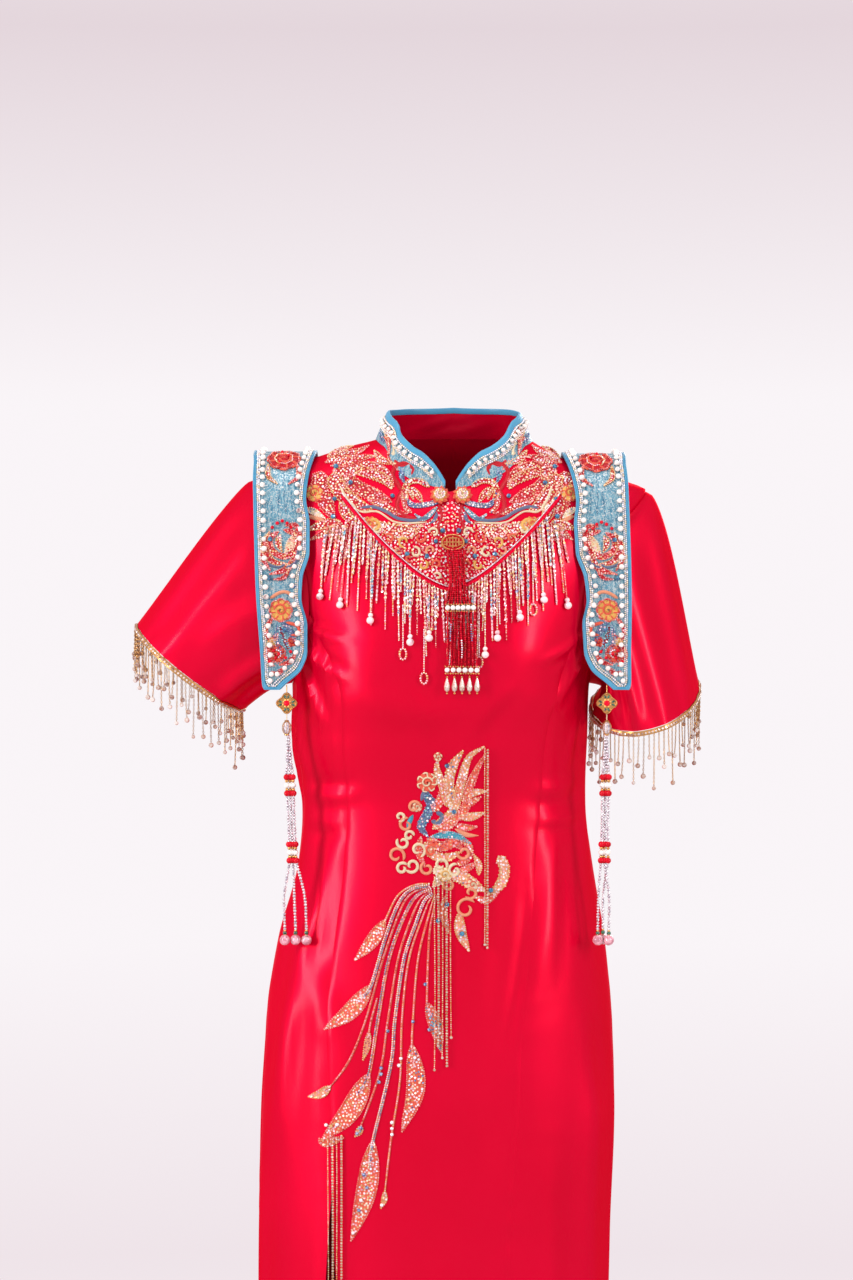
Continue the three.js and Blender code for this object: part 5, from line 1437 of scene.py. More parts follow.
def tassel_pearls(name, z, middle, half):
    x = np.linspace(middle - half + 2.6, middle + half - 2.6, 6)
    lines = singles(*on_front(x, z, TASSEL_LIFT + 3.4), 0.05)
    look = (SMOOTH, 5, 5.2, PEARL)
    rows(f"tassel_{name}_row", lines, *look, nodes=[f"tassel_{name}"], vary=0.05, mottle=0.1)
    x = np.linspace(middle - half + 1, middle + half - 1, 20)
    lines = [(*on_front(x, z + up, TASSEL_LIFT + 3.2), 0.6) for up in (3.4, -3.4)]
    rows(f"tassel_{name}_gilt", lines, SEED, 2.5, 2.4, GOLD, mottle=0.2)


# The plaque's outline, as shares of its half width and heights, and its fret's bars.
PLAQUE = [(0.92, 0), (1, 0.5), (1, 1.4), (0.96, 2.3), (0.88, 2.4), (0.83, 1.3), (0.4, 1.3), (0.02, 1.3)]
FRET = [((0, -6), (0, 6)), ((-8.6, 0), (8.6, 0)), ((-4, 4.4), (4, 4.4)), ((-4, -4.4), (4, -4.4))]
for s in (-1, 1):
    FRET += [((s * 3, 1.6), (s * 3, 4.4)), ((s * 3, -1.6), (s * 3, -4.4))]
    FRET += [((s * 6, -3.6), (s * 6, 3.6)), ((s * 6, 2.4), (s * 8.4, 2.4))]


def joined(solids):
    """Solids as one."""
    points, faces = [], []
    for solid_points, solid_faces in solids:
        faces += [[len(points) + i for i in f] for f in solid_faces]
        points += list(solid_points)
    return points, faces


def bar(on, line, wide, high):
    """A square bar between a pair of places on a plate."""
    a, b = np.array(line, float)
    way = unit(b - a)
    side = np.array([-way[1], way[0]]) * wide / 2
    ends = [a - way * wide / 2, b + way * wide / 2]
    corners = ((-1, 0), (-0.7, high), (0.7, high), (1, 0))
    ring = [on(*(end + side * s), h)[0] for end in ends for s, h in corners]
    return tube_grid(np.array(ring).reshape(2, 4, 3))


def turned(on, outline, count, wide, tall):
    """An oval plate from shares of its half sizes and heights."""
    return tube_grid(np.array([on(*oval(count, wide * s, tall * s, False), h)[0] for s, h in outline]))


def plaque():
    spot, facing = on_front(-2.0, -103.0, 2.0)
    level = unit(np.cross(UP_Z, -facing))
    on = on_plate(spot, level, np.cross(facing, level), facing)
    name = "tassel_plaque"
    piece(f"{name}_gilt", *turned(on, PLAQUE, 64, 12, 9), GOLD, [name], tint=0.9)
    ground = turned(on, [(0.82, 1.2), (0.82, 1.5), (0.02, 1.5)], 64, 12, 9)
    piece(f"{name}_ground", *ground, RED_GLASS, tint=0.15)
    fret = joined(bar(lambda x, z, h: on(x, z, h + 1.2), line, 1.0, 1.4) for line in FRET)
    piece(f"{name}_fret", *fret, GOLD, tint=1.0)
    rows(f"{name}_beads", [(*on(*oval(60, 11.1, 8.2), 2.2), 0.8)], SEED, 1.5, 1.3, GOLD)


plaque()
tassel_strands("upper", top=-112, bottom=-165.5, middle=(1, 3), half=(8.5, 13.5), counts=(9, 9), seed=31)
tassel_strands("lower", top=-174, bottom=-226, middle=(6, 7), half=(15, 16.5), counts=(8, 9), seed=32)
tassel_pearls("pearls_upper", z=-169.7, middle=5.5, half=15.5)
tassel_pearls("pearls_lower", z=-229.7, middle=7, half=17.5)
for i, x in enumerate(np.linspace(-8, 22, 5)):
    spot, facing = on_front(x, -244.6, TASSEL_LIFT + 2.6)
    name, down = f"tassel_drop_{i + 1}", (0, 0, -0.1)
    line = singles(spot, facing, 0.6, down)
    rows(f"{name}_cut", line, DROP_CUT, 5, 14.5, STONES, nodes=[name], vary=0.0, seed=i)
    line = singles([spot + 8.2 * UP_Z, spot - 8.0 * UP_Z], facing, 0.6, down)
    rows(f"{name}_caps", line, ROUND, 5, 2.4, GOLD)

# ---------------- shoulder panels
# A stiffened panel of blue brocade, lined with red satin, lies over each shoulder. It is
# bound with doubled blue satin, edged with pearls and worked with flowers and curled petals.

PANEL = [
    (-82, -251, -2, 18), (-82, -245, 4, 20), (-82, -230, 20, 21), (-82, -212, 26, 22), (-82, -186, 26, 24),
    (-81, -158, 20, 26), (-80, -138, 21, 27), (-77, -112, 28, 28), (-72, -87, 28, 29), (-64, -61, 24, 30),
    (-51, -39, 26, 31), (-38, -25, 29, 31), (-22, -15, 32, 32), (0, -11, 33, 32), (24, -14, 33, 32),
    (46, -22, 32, 31), (64, -36, 31, 31), (74, -56, 30, 30), (77, -80, 29, 29), (77, -100, 27, 27),
    (77, -112, 20, 20), (77, -118, 9, 9),
]  # y and z along its middle, and its reach to the neck edge and to the arm edge
PANEL_SIDES = {
    "right": {"middle": -175, "lean": 0, "rise": 6},
    "left": {"middle": 144, "lean": 6, "rise": 4},
}
PANEL_RUN = lengths(np.array(PANEL, float)[:, :2])
PANEL_LINE = curves(("y", "z", "inner", "outer"), [(run, *row) for run, row in zip(PANEL_RUN, PANEL)])
PANEL_LONG = PANEL_RUN[-1]


def panel_run(z):
    """How far along a panel its front half is at a height."""
    return np.interp(z, [row[1] for row in PANEL[:14]], PANEL_RUN[:14])


def panel_face(side, sign):
    """A panel's middle layer as a face to work on, by distances out from its middle and along."""
    spec = PANEL_SIDES[side]

    def place(off, run):
        y, z = PANEL_LINE["y"](run), PANEL_LINE["z"](run)
        shift = spec["lean"] * np.maximum(0, -z) / 100
        up = z + spec["rise"] * smooth(-150, -40, z)
        return np.stack(np.broadcast_arrays(spec["middle"] + sign * (off + shift), y, up), -1)

    def on(off, run, lift=0.0):
        off, run, lift = np.broadcast_arrays(np.asarray(off, float), run, lift)
        run = np.clip(run, 0.5, PANEL_LONG - 0.5)
        way = place(0 * off, run + 0.5) - place(0 * off, run - 0.5)
        facing = unit(np.stack([0 * run, -way[..., 2], way[..., 1]], -1))
        return place(off, run) + facing * (lift + 1.2)[..., None], facing

    return on


def panel_grid(on, drawn, across, along, lift):
    """Rows of places along a panel, its edges drawn in by a distance."""
    at = drawn + (PANEL_LONG - 2 * drawn) * along / PANEL_LONG
    inner, outer = -PANEL_LINE["inner"](along) + drawn, PANEL_LINE["outer"](along) - drawn
    off = inner[:, None] + (outer - inner)[:, None] * across
    return on(off, at[:, None] + 0 * off, lift), off, at


def panel_loop(on, drawn, lift):
    """A line all round a panel at a distance in from its edge."""
    along = np.linspace(0, PANEL_LONG, 260)
    loop = []
    for g in panel_grid(on, drawn, np.linspace(0, 1, 25), along, lift)[0]:
        loop.append(np.concatenate([g[:-1, 0], g[-1, :-1], g[:0:-1, -1], g[0, :0:-1], g[:1, 0]]))
    far = lengths(loop[0])
    return [sampled(far, np.linspace(0, far[-1], 440, endpoint=False), v) for v in loop]


# The work on a panel's front: bands as on the yoke, by distance out and height.
PANEL_BANDS = [
    (5.5, "coral rope pink", -2, -92, -13, -96, -14, -110, -2, -117, 10, -111, 12, -100, 4, -94),
    (9, "cream leaf pink", -13, -97, -9, -105, -3, -113),
    (6, "salmon leaf cream", 2, -97, 4, -104, 0, -112),
    (4.5, "coral leaf coral", -4, -88, -14, -88, -18, -98, -18, -108),
    (6.5, "salmon leaf pink", 13, -94, 18, -106, 10, -121, -8, -125),
    (5, "coral leaf cream", 16, -104, 19, -118, 12, -130),
    (6, "coral leaf pink", -14, -114, -6, -128, 12, -134),
    (3, "slate rope", -16, -110, -14, -122, -4, -128),
    (2.6, "slate rope", -4, -124, 4, -127, 14, -124),
    (4, "red leaf coral", -8, -128, -2, -137, 8, -139),
    (5.5, "slate leaf blue", 0, -182, -8, -190, -16, -206),
    (5, "dark leaf teal", 2, -184, -2, -198, -10, -216),
    (4.6, "slate leaf blue", 4, -186, 5, -200, 0, -214),
    (3.4, "coral rope", -4, -182, -16, -186, -17, -194, -9, -195),
    (3.8, "coral rope coral", 10, -178, 16, -190, 11, -200, 4, -194),
    (5, "coral leaf red", -14, -214, -8, -222, 2, -225),
    (5.5, "coral leaf coral", 13, -204, 15, -216, 8, -226),
    (5, "red leaf red", -2, -228, 4, -234, 10, -232),
    (3.4, "salmon rope", -12, -158, -6, -152, 2, -152, 12, -158),
    (4.5, "coral leaf coral", -14, -28, -16, -40, -6, -48),
    (4.5, "salmon leaf cream", 16, -28, 15, -40, 6, -48),
]
PANEL_FLOWERS = [
    (0, -22, 16, 8, "red", "coral"), (0, -22, 9, 6, "coral", "red"), (1, -170, 11, 8, "gold", "coral"),
    (-10, -202, 5, 5, "coral", "red"), (5, -214, 8.5, 6, "coral", "red"), (10, -202, 4.5, 5, "gold", "cream"),
]
# Rings of beads round the flowers: middle, radius and shade. Then single red beads and cones.
PANEL_RINGS = [
    (0, -22, 16, "red"), (0, -22, 9, "gold"), (1, -170, 11, "coral"), (5, -214, 9, "red"),
    (5, -214, 4, "silver"),
]
PANEL_REDS = [
    (-9, -90), (-5, -86), (0, -84), (5, -86), (10, -90), (-5, -20), (4, -26), (2, -16), (3, -214),
    (8, -211), (6, -218), (-9, -212), (-4, -218), (12, -222), (-16, -92), (14, -196),
]
PANEL_CONES = [(13, -138), (-12, -146), (-3, -190)]


def shoulder_panel(side, sign):
    on = panel_face(side, sign)
    ends = (np.linspace(0, 30, 18)[:-1], np.linspace(30, PANEL_LONG - 20, 110)[:-1])
    along = np.concatenate([*ends, np.linspace(PANEL_LONG - 20, PANEL_LONG, 14)])
    across = np.linspace(0, 1, 17)
    run = along[:, None]
    ripple = 0.35 * np.sin(run / 23) * np.sin(np.pi * across) + 0.2 * np.sin(run / 9 + 5) * across
    layers = []
    for lift in (0.0, -1.3, -1.35, -2.4):
        (grid, _), off, at = panel_grid(on, 3.1, across, along, lift + ripple)
        layers.append(grid)
    uv = np.tile(np.stack([off, at[:, None] + 0 * off], -1).reshape(-1, 2), (2, 1))
    name, rests = f"shoulder_{side}", ["front_centre_cloth", f"sleeve_{side}_cloth"]
    top = piece(f"{name}_cloth", *shell(*layers[:2]), BROCADE, [f"shoulder_panel_{side}"], uv)
    lining = piece(f"{name}_lining", *shell(*(layer[:, ::2] for layer in layers[2:])), RED_SATIN)
    profile = [
        (0.0, 0.0), (0.2, 0.8), (0.8, 1.15), (1.3, 0.55), (1.6, 0.5), (2.2, 1.05),
        (3.0, 0.9), (3.6, 0.2), (3.6, -2.2), (1.6, -2.75), (0.2, -2.2), (0.0, -1.2),
    ]
    rings = np.array([panel_loop(on, drawn, lift)[0] for drawn, lift in profile]).transpose(1, 0, 2)
    bound = piece(f"{name}_bound", *tube_grid(rings, True), BLUE_SATIN, [f"shoulder_binding_{side}"])
    line = (*closed_line(*panel_loop(on, 9.8, 2.3)), 0.0)
    rows(f"{name}_pearls", [line], ROUND, 9.8, 5.8, PEARL, vary=0.1, mottle=0.25)
    lines = [(*closed_line(*panel_loop(on, drawn, 0.9)), 0.6) for drawn in (4.5, 6.3)]
    rows(f"{name}_seeds", lines, SEED, 2.1, 2.2, (BEADS, "gold"), vary=0.2, mottle=0.09, seed=6)

    def face(x, z, lift=0.0):
        return on(x, panel_run(z), lift)

    work = Embroidery(on, lambda line: np.stack([line[:, 0], panel_run(line[:, 1])], -1))
    work.bands(PANEL_BANDS, 1.6, 1.6, 0.3)
    work.blossoms(PANEL_FLOWERS)
    work.done(f"{name}_work", (), 12, 1.9)
    lines = []
    for x, z, radius, shade in PANEL_RINGS:
        wavy = radius * (1 + 0.06 * np.cos(7 * np.linspace(0, 2 * np.pi, 50)))
        ring = oval(50, wavy, wavy) + [[x], [panel_run(z)]]
        lines.append((*on(*ring, 1.9), shade))
    rows(f"{name}_rings", lines, SEED, 2.1, 2.1, (BEADS, "red_beads"))
    rows(f"{name}_red", spots(face, PANEL_REDS, 2.4, 0.4), ROUND, 5, 3.6, RED_GLASS, mottle=0.2)
    rows(f"{name}_stone", spots(face, [(12, -101)], 2.6), CUT, 5, 5.2, BLUE_GLASS)
    rows(f"{name}_cones", spots(face, PANEL_CONES, 1.0), CONE, 5, 5.0, BLUE_GLASS)


for side, sign in SIDES.items():
    shoulder_panel(side, sign)

# ---------------- shoulder tassels
# From each panel's foot hangs a gilt quatrefoil medallion with green enamel leaves, a wired
# crystal lantern and three strands of cut crystal, which end in green and pink stone balls.

MEDALLION = {"radius": 11, "lobe": 0.12, "z": -264, "in": 5}
PLATE = [(0.02, -1.3), (0.9, -1.3), (1, -0.6), (1, 0.7), (0.95, 1.5), (0.86, 1.55), (0.8, 0.7), (0.02, 0.7)]
LANTERN_DOWN = 25
TASSEL_SIDES = {
    "right": {"drift": 9, "ends": [(-10.8, 0), (0, 1), (11, 0)]},
    "left": {"drift": -3.5, "ends": [(-5.8, -1), (5.4, -2), (0, 8.6)]},
}
# A strand below its medallion: how far down, how far its strands have spread, and its beads.
STRAND_DOWN = np.array([33.6, 60, 72, 92, 118, 142, 160, 195, 229.4])
STRAND_SPREAD = np.array([0.15, 0.5, 0.75, 0.8, 0.72, 0.8, 0.85, 0.95, 1.0])
STRAND_CUT = [(33.6, 71.5), (94, 140.5), (162, 228.6)]
STRAND_GROUPS = (83, 151)

ICE = shades(TRIMMINGS, (0, 236, 196, 208), (0.5, 250, 236, 242), (1, 255, 252, 255))
CRYSTAL = glassy("cut crystal", ICE, rgb(196, 176, 196), 0.6, 420, 0.06, 0.35, Coat_Weight=0.8), "crystal"
GREENS = shades(STUDIO, (0, 6, 52, 40), (1, 10, 80, 58))
ENAMEL = glassy("green enamel", GREENS, rgb(48, 140, 100), 0.5, 300, Coat_Weight=0.8), "crystal"
ROSES = shades(0.85, (0, 250, 176, 190), (1, 255, 200, 208))
ROSE_STONE = glassy("rose stone", ROSES, rgb(228, 140, 158), 0.8, 150, 0.14, Coat_Weight=0.6), "pink_beads"
# The single beads of a strand: shade, shape, spacing, size and finish.
STRAND_KINDS = {
    "red": (0.4, SMOOTH, 5, 6.4, RED_GLASS), "pearl": (0.05, SMOOTH, 5, 5.6, PEARL),
    "gilt": (0.6, ROUND, 5, 3.6, GOLD), "green": (0.5, SMOOTH, 5, 4.4, ENAMEL),
    "cap": (0.7, ROUND, 5, 3.0, GOLD),
}


def thread_points(top, bottom, radius):
    a = np.linspace(0, 2 * np.pi, 8, endpoint=False)[:, None]
    ring = radius * (np.cos(a) * LEVEL_X + np.sin(a) * AHEAD)
    return tube_grid(np.array([top + ring, bottom + ring]))


def medallion(side, spot):
    on = on_plate(spot, LEVEL_X, UP_Z, AHEAD)
    a = np.linspace(0, 2 * np.pi, 72, endpoint=False)
    lobes = 1 + MEDALLION["lobe"] * (np.cos(4 * a) - 1)
    r = MEDALLION["radius"] * lobes * (1 + 0.012 * np.cos(24 * a))
    plate = turned(on, PLATE, len(a), r, r)
    loop = thread_points(spot + UP_Z * 10.4, spot + UP_Z * 18.6, 0.55)
    name = f"medallion_{side}"
    piece(f"{name}_gilt", *joined((plate, loop)), GOLD, [name], tint=0.6)
    leaves, petals = Embroidery(on), Embroidery(on)
    for i in range(8):
        b = np.pi / 2 * (i // 2)
        turn = 0.3 * (-1) ** i
        ends = [(q * np.cos(b + t), q * np.sin(b + t)) for q, t in ((4.9, turn / 2), (8.6, turn))]
        leaves.band(ends, 2.4, "teal", high=0.8, lift=0.7, step=0.6)
        b = 2 * np.pi * (i + 0.5) / 8
        ends = [(q * np.cos(b), q * np.sin(b)) for q in (1.6, 4.9)]
        petals.band(ends, 2.7, "gold", "plume", high=1.1, lift=0.8, step=0.6)
    piece(f"{name}_flower", np.concatenate(petals.points), petals.faces, GOLD, tint=1.0)
    piece(f"{name}_leaves", np.concatenate(leaves.points), leaves.faces, ENAMEL, tint=0.8)
    dome, faces = ringed([(0, 0.4), (3.3, 0.6), (3.1, 1.8), (2.2, 2.6), (0, 2.9)], 20)
    dome = spot + dome @ np.array([LEVEL_X, UP_Z, AHEAD])
    piece(f"{name}_middle", dome, [f[::-1] for f in faces], RED_GLASS, tint=0.6)
    line = closed_line(*on(*oval(len(a), r * 0.91, r * 0.91, False), 1.7))
    rows(f"{name}_beads", [(*line, 0.9)], SEED, 1.5, 1.3, GOLD)


def lantern(side, spot):
    """A crystal ball in a cage of gilt wires, between two caps."""
    points, faces = ball(12, 9, 4.2, 6.6)
    name = f"lantern_{side}"
    piece(f"{name}_glass", points + spot, faces, CRYSTAL, [name], sharp=18, tint=0.7)
    b = np.linspace(0.12, np.pi - 0.12, 18)[:, None]
    wires = []
    for a in np.arange(8) * np.pi / 4:
        way = np.array([np.cos(a), np.sin(a), 0])
        wires.append((spot + 4.55 * np.sin(b) * way + 6.9 * np.cos(b) * UP_Z, way, 0.6))
    rows(f"{name}_wires", wires, SEED, 0.95, 0.95, GOLD)
    cap, faces = ringed([(0, -0.9), (2.4, -0.7), (2.6, 0.0), (1.5, 0.6), (0, 0.9)], 12)
    low = (cap * (1, 1, -1) + spot - UP_Z * 7.2, [f[::-1] for f in faces])
    piece(f"{name}_caps", *joined(((cap + spot + UP_Z * 7.2, faces), low)), GOLD, tint=0.6)
    points, faces = thread_points(spot + UP_Z * 13.6, spot + UP_Z * 7.6, 0.5)
    piece(f"{name}_thread", points, faces, SILK, uv=points[:, :2], shade=THREAD["cream"])


def shoulder_tassel(side, sign):
    spec, panel = TASSEL_SIDES[side], PANEL_SIDES[side]
    foot = -PANEL[0][1] / 100
    x = panel["middle"] + sign * (panel["lean"] * foot - MEDALLION["in"])
    spot = np.array([x, -82.0, MEDALLION["z"]])
    medallion(side, spot)
    lantern(side, spot - UP_Z * LANTERN_DOWN)
    cut, single = [], {kind: [] for kind in STRAND_KINDS}
    near = STRAND_SPREAD < 0.9
    for i, (off, deep) in enumerate(spec["ends"]):
        wide = np.where(near, 4.1 * (i - 1) * STRAND_SPREAD, off * STRAND_SPREAD)
        ahead = np.where(near, 1.5 * (i == 1) * STRAND_SPREAD, deep * STRAND_SPREAD)
        line = np.stack([spec["drift"] * STRAND_DOWN / 229 + wide, ahead, -STRAND_DOWN], -1)
        way = flow(line, 1.0)
        for low, high in STRAND_CUT:
            cut.append((spot + way[(-way[:, 2] >= low) & (-way[:, 2] <= high)], AHEAD, 0.6))
        for middle in STRAND_GROUPS:
            for kind, reach in (("red", 8.2), ("pearl", 0), ("gilt", 4.4)):
                for drop in {middle - reach, middle + reach}:
                    single[kind].append(spot + sampled(-way[:, 2], drop, way))
        end = spot + (spec["drift"] + off, deep, -STRAND_DOWN[-1])
        single["cap"] += [end - UP_Z * 0.9, end - UP_Z * 5.0]
        single["green"].append(end - UP_Z * 3.1)
        points, faces = ball(22, 14, 5.3)
        name, nodes = f"end_{side}_{i + 1}_stone", [f"end_ball_{side}_{i + 1}"]
        piece(name, points + end - UP_Z * 10.3, faces, ROSE_STONE, nodes, tint=0.3 * i)
    look, nodes = (SEED, 3.0, 3.6, CRYSTAL), [f"strands_{side}"]
    rows(f"strands_{side}_crystal", cut, *look, nodes=nodes, vary=0.06, mottle=0.4, twist=0.7, seed=4)
    for kind, (shade, *look) in STRAND_KINDS.items():
        lines = singles(single[kind], AHEAD, shade, (0, 0, -0.1))
        rows(f"strands_{side}_{kind}", lines, *look, vary=0.03)


for side, sign in SIDES.items():
    shoulder_tassel(side, sign)

# ---------------- phoenix spray
# A phoenix with flowers, worked on the front of the skirt in raised thread, sequins and
# seed beads. Its tail sweeps down to the wearer's right in long beaded stems with leaf ends.

# Bands of the bird and its flowers, as on the yoke but by x and height.
BIRD = [
    (8, "salmon plume cream", -22, -390, -2, -372, 6, -344, 14, -318, 29, -307),
    (7.5, "coral plume pink", -18, -388, 8, -374, 14, -350, 22, -330, 31, -314),
    (7, "salmon plume cream", -6, -368, -12, -348, -18, -330, -17, -319),
    (9, "salmon plume silver", -2, -366, -6, -344, -2, -326, 8, -311),
    (5, "coral leaf coral", 2, -364, 4, -348, 12, -334),
    (7, "salmon leaf cream", 8, -362, 18, -354, 32, -352),
    (6, "coral leaf gold", 6, -368, 16, -364, 26, -358),
    (7.5, "salmon leaf cream", 4, -378, 16, -378, 30, -374),
    (6, "coral leaf pink", 0, -386, 12, -389, 22, -388),
    (5, "salmon leaf", 0, -390, 12, -396, 24, -397),
    (6.5, "teal leaf teal", -24, -398, -8, -396, 4, -398, 16, -405),
    (9, "coral plume cream", -16, -392, -4, -384, 4, -372),
    (8, "coral plume gold", -22, -372, -14, -360, -10, -344),
    (8.5, "slate plume blue", -30, -356, -24, -364, -28, -376, -34, -388, -27, -398),
    (5, "slate leaf", -34, -362, -30, -353, -24, -356),
    (4.6, "slate rope", -24, -382, -16, -384, -13, -377, -19, -373),
    (5, "teal leaf", -42, -376, -46, -384, -48, -392),
    (9, "coral plume coral", -28, -400, -14, -408, 0, -404, 8, -412),
    (8, "salmon plume cream", -30, -404, -22, -416, -8, -419, 6, -413),
    (5.5, "coral rope pink", 6, -402, 15, -408, 13, -420, 2, -426),
    (6.5, "coral leaf coral", -34, -398, -36, -414, -30, -428),
    (9, "cream plume gold", -20, -428, -14, -438, -22, -448),
    (12, "salmon plume silver", -4, -436, 6, -438, 18, -446, 30, -452),
    (6.5, "coral leaf coral", 4, -432, 12, -430, 22, -424),
    (6, "salmon leaf cream", 24, -436, 24, -426, 19, -416),
    (9.5, "salmon plume cream", 44, -418, 50, -430, 46, -446, 34, -456),
    (6, "coral leaf cream", 20, -458, 32, -462, 44, -454),
    (10.5, "salmon leaf cream", 4, -474, 6, -494, 14, -512),
    (7.5, "coral leaf cream", -10, -458, -12, -474, -6, -494),
]
BIRD_FLOWERS = [
    (-28, -343, 9.5, 7, "coral", "cream"), (-38, -368, 5, 6, "cream", "coral"),
    (-17, -317, 4.4, 5, "cream", "coral"), (-10, -436, 7, 6, "cream", "gold"),
    (18, -446, 6, 6, "cream", "coral"),
]
# Curls of cord round the bird: middle, radius, where each starts in turns, and thread.
BIRD_CURLS = [
    (-59, -417, 8.6, 0.9, "salmon"), (-52, -404, 6.6, 0.4, "cream"), (-53, -430, 6.1, 0.1, "cream"),
    (-43, -427, 7.4, 0.6, "cream"), (-49, -386, 7.1, 0.2, "salmon"), (-55, -378, 4.8, 0.7, "cream"),
    (-41, -368, 6.3, 0, "salmon"), (-37, -411, 7.7, 0.8, "cream"), (-28, -430, 6.9, 0.3, "salmon"),
    (-14, -426, 6.6, 0.9, "cream"), (9, -414, 6.9, 0.5, "salmon"), (0, -432, 6.9, 0.2, "cream"),
    (11, -470, 10.6, 0.1, "salmon"), (16, -454, 6.6, 0.6, "salmon"), (-46, -397, 5, 0, "cream"),
    (-24, -412, 6.1, 0.1, "coral"), (-6, -446, 5.8, 0.4, "salmon"),
]
# The tail: each leaf's width and filling, the shades of the rows of beads on its stem, and the
# line of the stem, which ends with the leaf's root and tip.
TAIL = [
    (13, "cream", "gold", -26, -445, -42, -447, -58, -458, -70, -482, -100, -522),
    (16, "cream", "silver blue", -26, -447, -44, -451, -57, -466, -70, -500, -84, -547, -131, -592),
    (8, "gold", "coral", -25, -449, -42, -454, -54, -470, -72, -520, -89, -580, -106, -622, -125, -649,
     -147, -661),
    (6, "coral", "coral", -78, -560, -84, -582, -86, -593, -92, -621),
    (20, "cream", "blue pink", -24, -451, -38, -457, -50, -476, -66, -520, -77, -580, -86, -635, -134,
     -704),
    (6, "blue", "coral", -24, -453, -34, -460, -44, -480, -57, -520, -67, -580, -75, -632, -94, -687,
     -100, -698),
    (20, "cream", "silver blue", -23, -455, -31, -463, -39, -484, -51, -520, -60, -580, -64, -625, -82,
     -702, -104, -803),
    (5, "silver", "pink", -22, -456, -30, -472, -46, -520, -53, -580, -55, -640, -64, -700, -70, -752,
     -74, -769),
    (18, "silver", "pink", -20, -456, -25, -472, -37, -520, -42, -580, -43, -605, -53, -692),
    (13, "blue", "coral", -18, -456, -22, -474, -26, -500, -28, -563, -14, -612),
]
FAN = [(-136, -702), (-132, -706), (-124, -704), (-112, -700)]  # the foot that the chains hang from
TAIL_STONES = {
    "blue": [
        (-67, -592), (-42, -582), (-74, -629), (-74, -635), (-76, -643), (-94, -689), (-98, -695),
        (-91, -736), (-88, -749), (-96, -772), (-30, -545), (-26, -590),
    ],
    "silver": [
        (-54, -619), (-56, -626), (-63, -683), (-63, -689), (-63, -695), (-129, -688), (-118, -687),
        (-102, -795), (-73, -766), (-40, -618), (-94, -762),
    ],
    "gold": [(-124, -689), (-47, -660)],
}
BIRD_CONES = [(-8, -326), (-1, -373), (36, -452), (7, -495), (-8, -466), (-17, -482)]


def tail(work):
    """The stems and leaves, and the lines of beads along the stems."""
    lines = []
    for i, (wide, filling, shades, *path) in enumerate(TAIL):
        *path, root, tip = np.reshape(path, (-1, 2)).astype(float)
        shades = shades.split()
        side = np.array([root[1] - tip[1], tip[0] - root[0]])
        middle = (root + tip) / 2 + side * (0.04 + 0.03 * (i % 3))
        work.band([root, middle, tip], wide, "coral" if wide > 10 else "salmon", "leaf", filling, 1.2)
        stem = flow([*path, root, (root + middle) / 2], 1.5)
        work.band(stem[::6], 1.2 + len(shades), "coral", "rope", high=0.6)
        across = unit(np.stack([-np.gradient(stem[:, 1]), np.gradient(stem[:, 0])], -1))
        for j, shade in enumerate(shades):
            line = stem + across * (1.9 * (j - (len(shades) - 1) / 2))
            lines.append((*on_front(*line.T, 1.1), shade))
    work.band(FAN, 8.5, "coral", "leaf", "cream", 1.2)
    return lines


def phoenix():
    work = Embroidery(on_front, grounds=("coral", "salmon"))
    work.bands(BIRD, 1.1, 1.5)
    for x, z, radius, start, shade in BIRD_CURLS:
        work.band(spiral(x, z, radius, start, 1.05, 0.35), 3.0, shade, "rope", high=1.6, lift=0.4, step=1.2)
    work.blossoms(BIRD_FLOWERS)
    strings = tail(work)
    work.done("phoenix_work", ["phoenix"], 17)
    rows("phoenix_stems", strings, SEED, 2.2, 2.1, SEWN, mottle=0.14, seed=13)
    lines = []
    for shade, places in TAIL_STONES.items():
        lines += spots(on_front, places, 1.7, shade)
    rows("phoenix_large_beads", lines, ROUND, 5, 3.8, (BEADS, "pink_beads"), mottle=0.03)
    rows("phoenix_cones", spots(on_front, BIRD_CONES, 1.5), CONE, 5, 5.2, BLUE_GLASS)
    eye = spots(on_front, [(-27.5, -358.5)], 1.4, "silver")
    rows("phoenix_eye", eye, ROUND, 5, 1.9, (BEADS, "pearl"))


phoenix()

# ---------------- skirt chains
# Fine ball and cup chains, gilt and set with stones, hang free from the crest, the breast
# and the longest tail leaf.

CHAINS = {
    "right": [(29.6, -308, -506), (32.6, -310, -509)],
    "centre": [
        (-20.6, -438, -630), (-16.6, -441, -606), (-12.4, -440, -618), (-8.2, -442, -626), (-4.4, -440, -598),
    ],
    "lower": [(-126.8, -700, -980), (-122.2, -702, -974), (-118, -700, -980), (-113.2, -698, -968)],
}  # where each chain hangs across the front, and the heights of its top and its foot


def chains(name, lines):
    balls, cups = [], []
    for i, (x, top, bottom) in enumerate(lines):
        z = np.linspace(top, bottom, 90)
        line = on_front(x + 0.7 * np.sin((top - z) / 60 + i) * (top - z) / 200, z, 2.6)
        (cups if i % 2 else balls).append((*line, 0.4 if i % 2 else 0.44))
    name, look = f"chains_{name}", (BEADS, "gold")
    rows(f"{name}_ball", balls, SEED, 1.9, 1.5, look, nodes=[name], vary=0.04, mottle=0.1, twist=0.6)
    rows(f"{name}_cup", cups, ROUND, 2.9, 2.6, look, vary=0.04, mottle=0.04)
    lines = [(points + facing * 0.95, facing, 0.4) for points, facing, _ in cups]
    rows(f"{name}_stones", lines, CUT, 2.9, 2.1, STONES, vary=0.05, mottle=0.25)
    lines = [single for points, facing, _ in balls + cups for single in singles(points[-1], facing[-1])]
    rows(f"{name}_ends", lines, CUT, 5, 2.8, STONES, vary=0.1, mottle=0.15)


for name, lines in CHAINS.items():
    chains(name, lines)

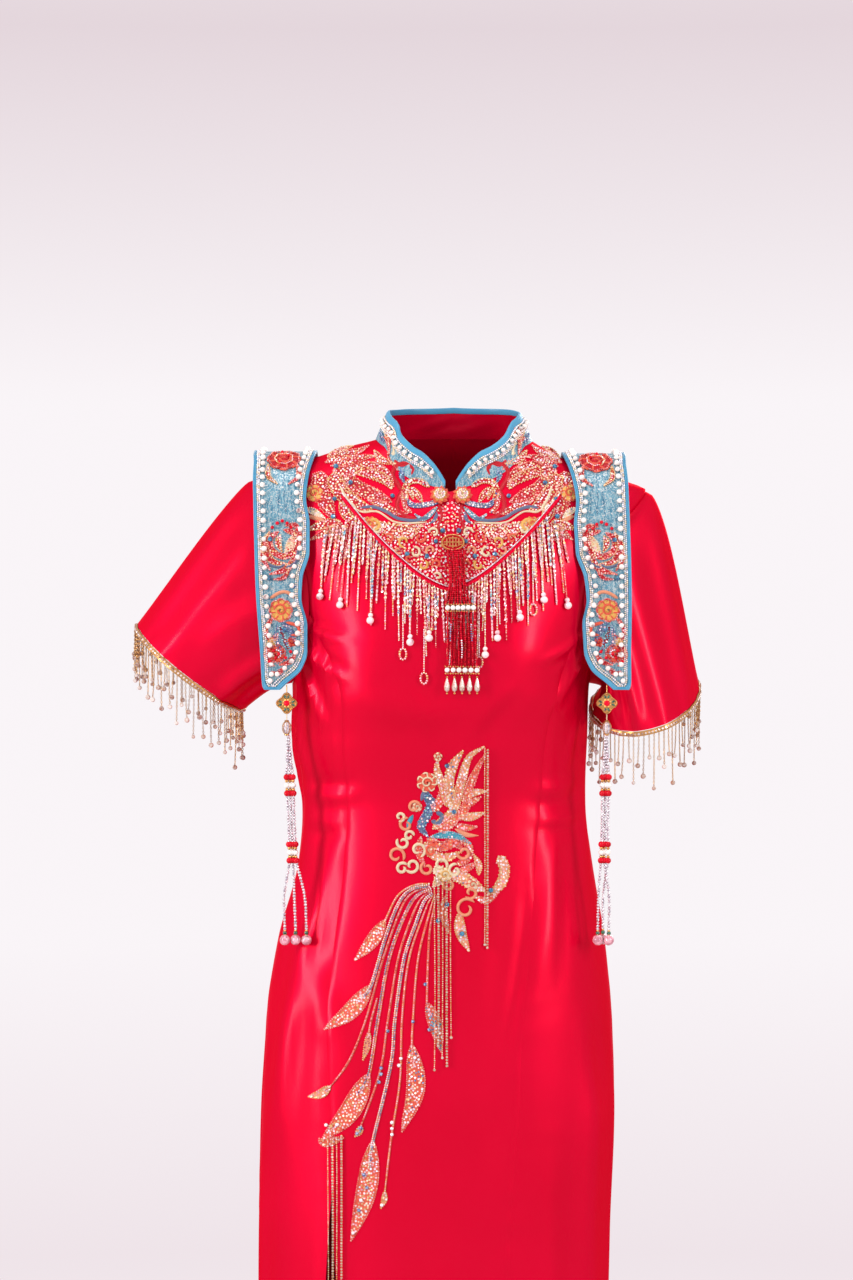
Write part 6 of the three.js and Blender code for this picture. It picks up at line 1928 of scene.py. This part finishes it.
for made in templates:
    bpy.data.objects.remove(made)

# ---------------- studio
# A pale floor that fades out round the dress, soft lights from both sides and a level camera
# before the bust. The dress hangs at its wearer's height above the floor.

FLOOR = {"z": -1460, "radius": 2600, "clear": 1100}


def pale_floor():
    """Painted studio floor, whose edge fades into the backdrop."""
    paint = Finish("studio floor", Roughness=0.7, Specular_IOR_Level=0.2)
    where = paint.place()
    radius = paint.node("ShaderNodeVectorMath", {0: where}, "Value", operation="LENGTH")
    edge = (FLOOR["radius"] * MM - radius) / ((FLOOR["radius"] - FLOOR["clear"]) * MM)
    worn = paint.noise(where, 3, 4)
    paint.show(Base_Color=paint.mix(worn, rgb(240, 230, 235), rgb(248, 240, 244)), Alpha=edge)
    paint.shape(paint.noise(where, 60, 3), 0.3, 0.3)
    return paint.material


rim = np.array([(x, y, FLOOR["z"]) for x, y in oval(96, FLOOR["radius"], FLOOR["radius"], False).T])
floor_mesh = new_mesh("floor", rim, [list(range(len(rim)))])
floor_mesh.materials.append(pale_floor())
new_object("floor", floor_mesh)


def softbox(name, place, aim, size, power):
    light = bpy.data.lights.new(name, "AREA")
    light.shape = "RECTANGLE"
    light.size, light.size_y = size
    light.energy = power
    lamp = new_object(name, light)
    lamp.location = place
    x, y, z = np.array(aim) - np.array(place)
    lamp.rotation_euler = (math.atan2(math.hypot(x, y), -z), 0, math.atan2(y, x) - math.pi / 2)


softbox("key_softbox", (-2.5, -1.7, 0.35), (0, 0, -0.4), (0.52, 2.4), 76)
softbox("fill_softbox", (2.3, -2.0, 0.5), (0, 0, -0.35), (0.5, 1.7), 44)
softbox("back_softbox", (1.2, 2.6, 1.0), (0, 0, -0.4), (1.2, 1.6), 30)
softbox("top_softbox", (-0.3, -0.6, 2.4), (0, 0, -0.3), (1.2, 0.9), 16)

world = bpy.data.worlds.new("studio")
world.use_nodes = True
backdrop = world.node_tree.nodes["Background"]
sky = Graph(world.node_tree)
where = sky.node("ShaderNodeTexCoord", out="Generated")
up = sky.node("ShaderNodeSeparateXYZ", {0: where}, "Z")
pale, dusk = rgb(253, 248, 251, 1.0), rgb(231, 217, 223, 1.0)
stops = [(0.2, pale), (0.3, rgb(242, 231, 236, 1.0)), (0.4, pale), (0.58, pale), (0.7, dusk), (0.8, pale)]
sky.feed(backdrop.inputs, {"Color": sky.ramp(up + 0.5, stops), "Strength": 0.97})
bpy.context.scene.world = world
bpy.context.scene.view_settings.view_transform = "Standard"

camera = bpy.data.cameras.new("camera")
camera.lens = 84.4
camera.sensor_width = 36
view = new_object("camera", camera)
view.location = (-0.0285, -3.12, -0.2)
view.rotation_euler = (math.radians(90), 0, 0)
bpy.context.scene.camera = view
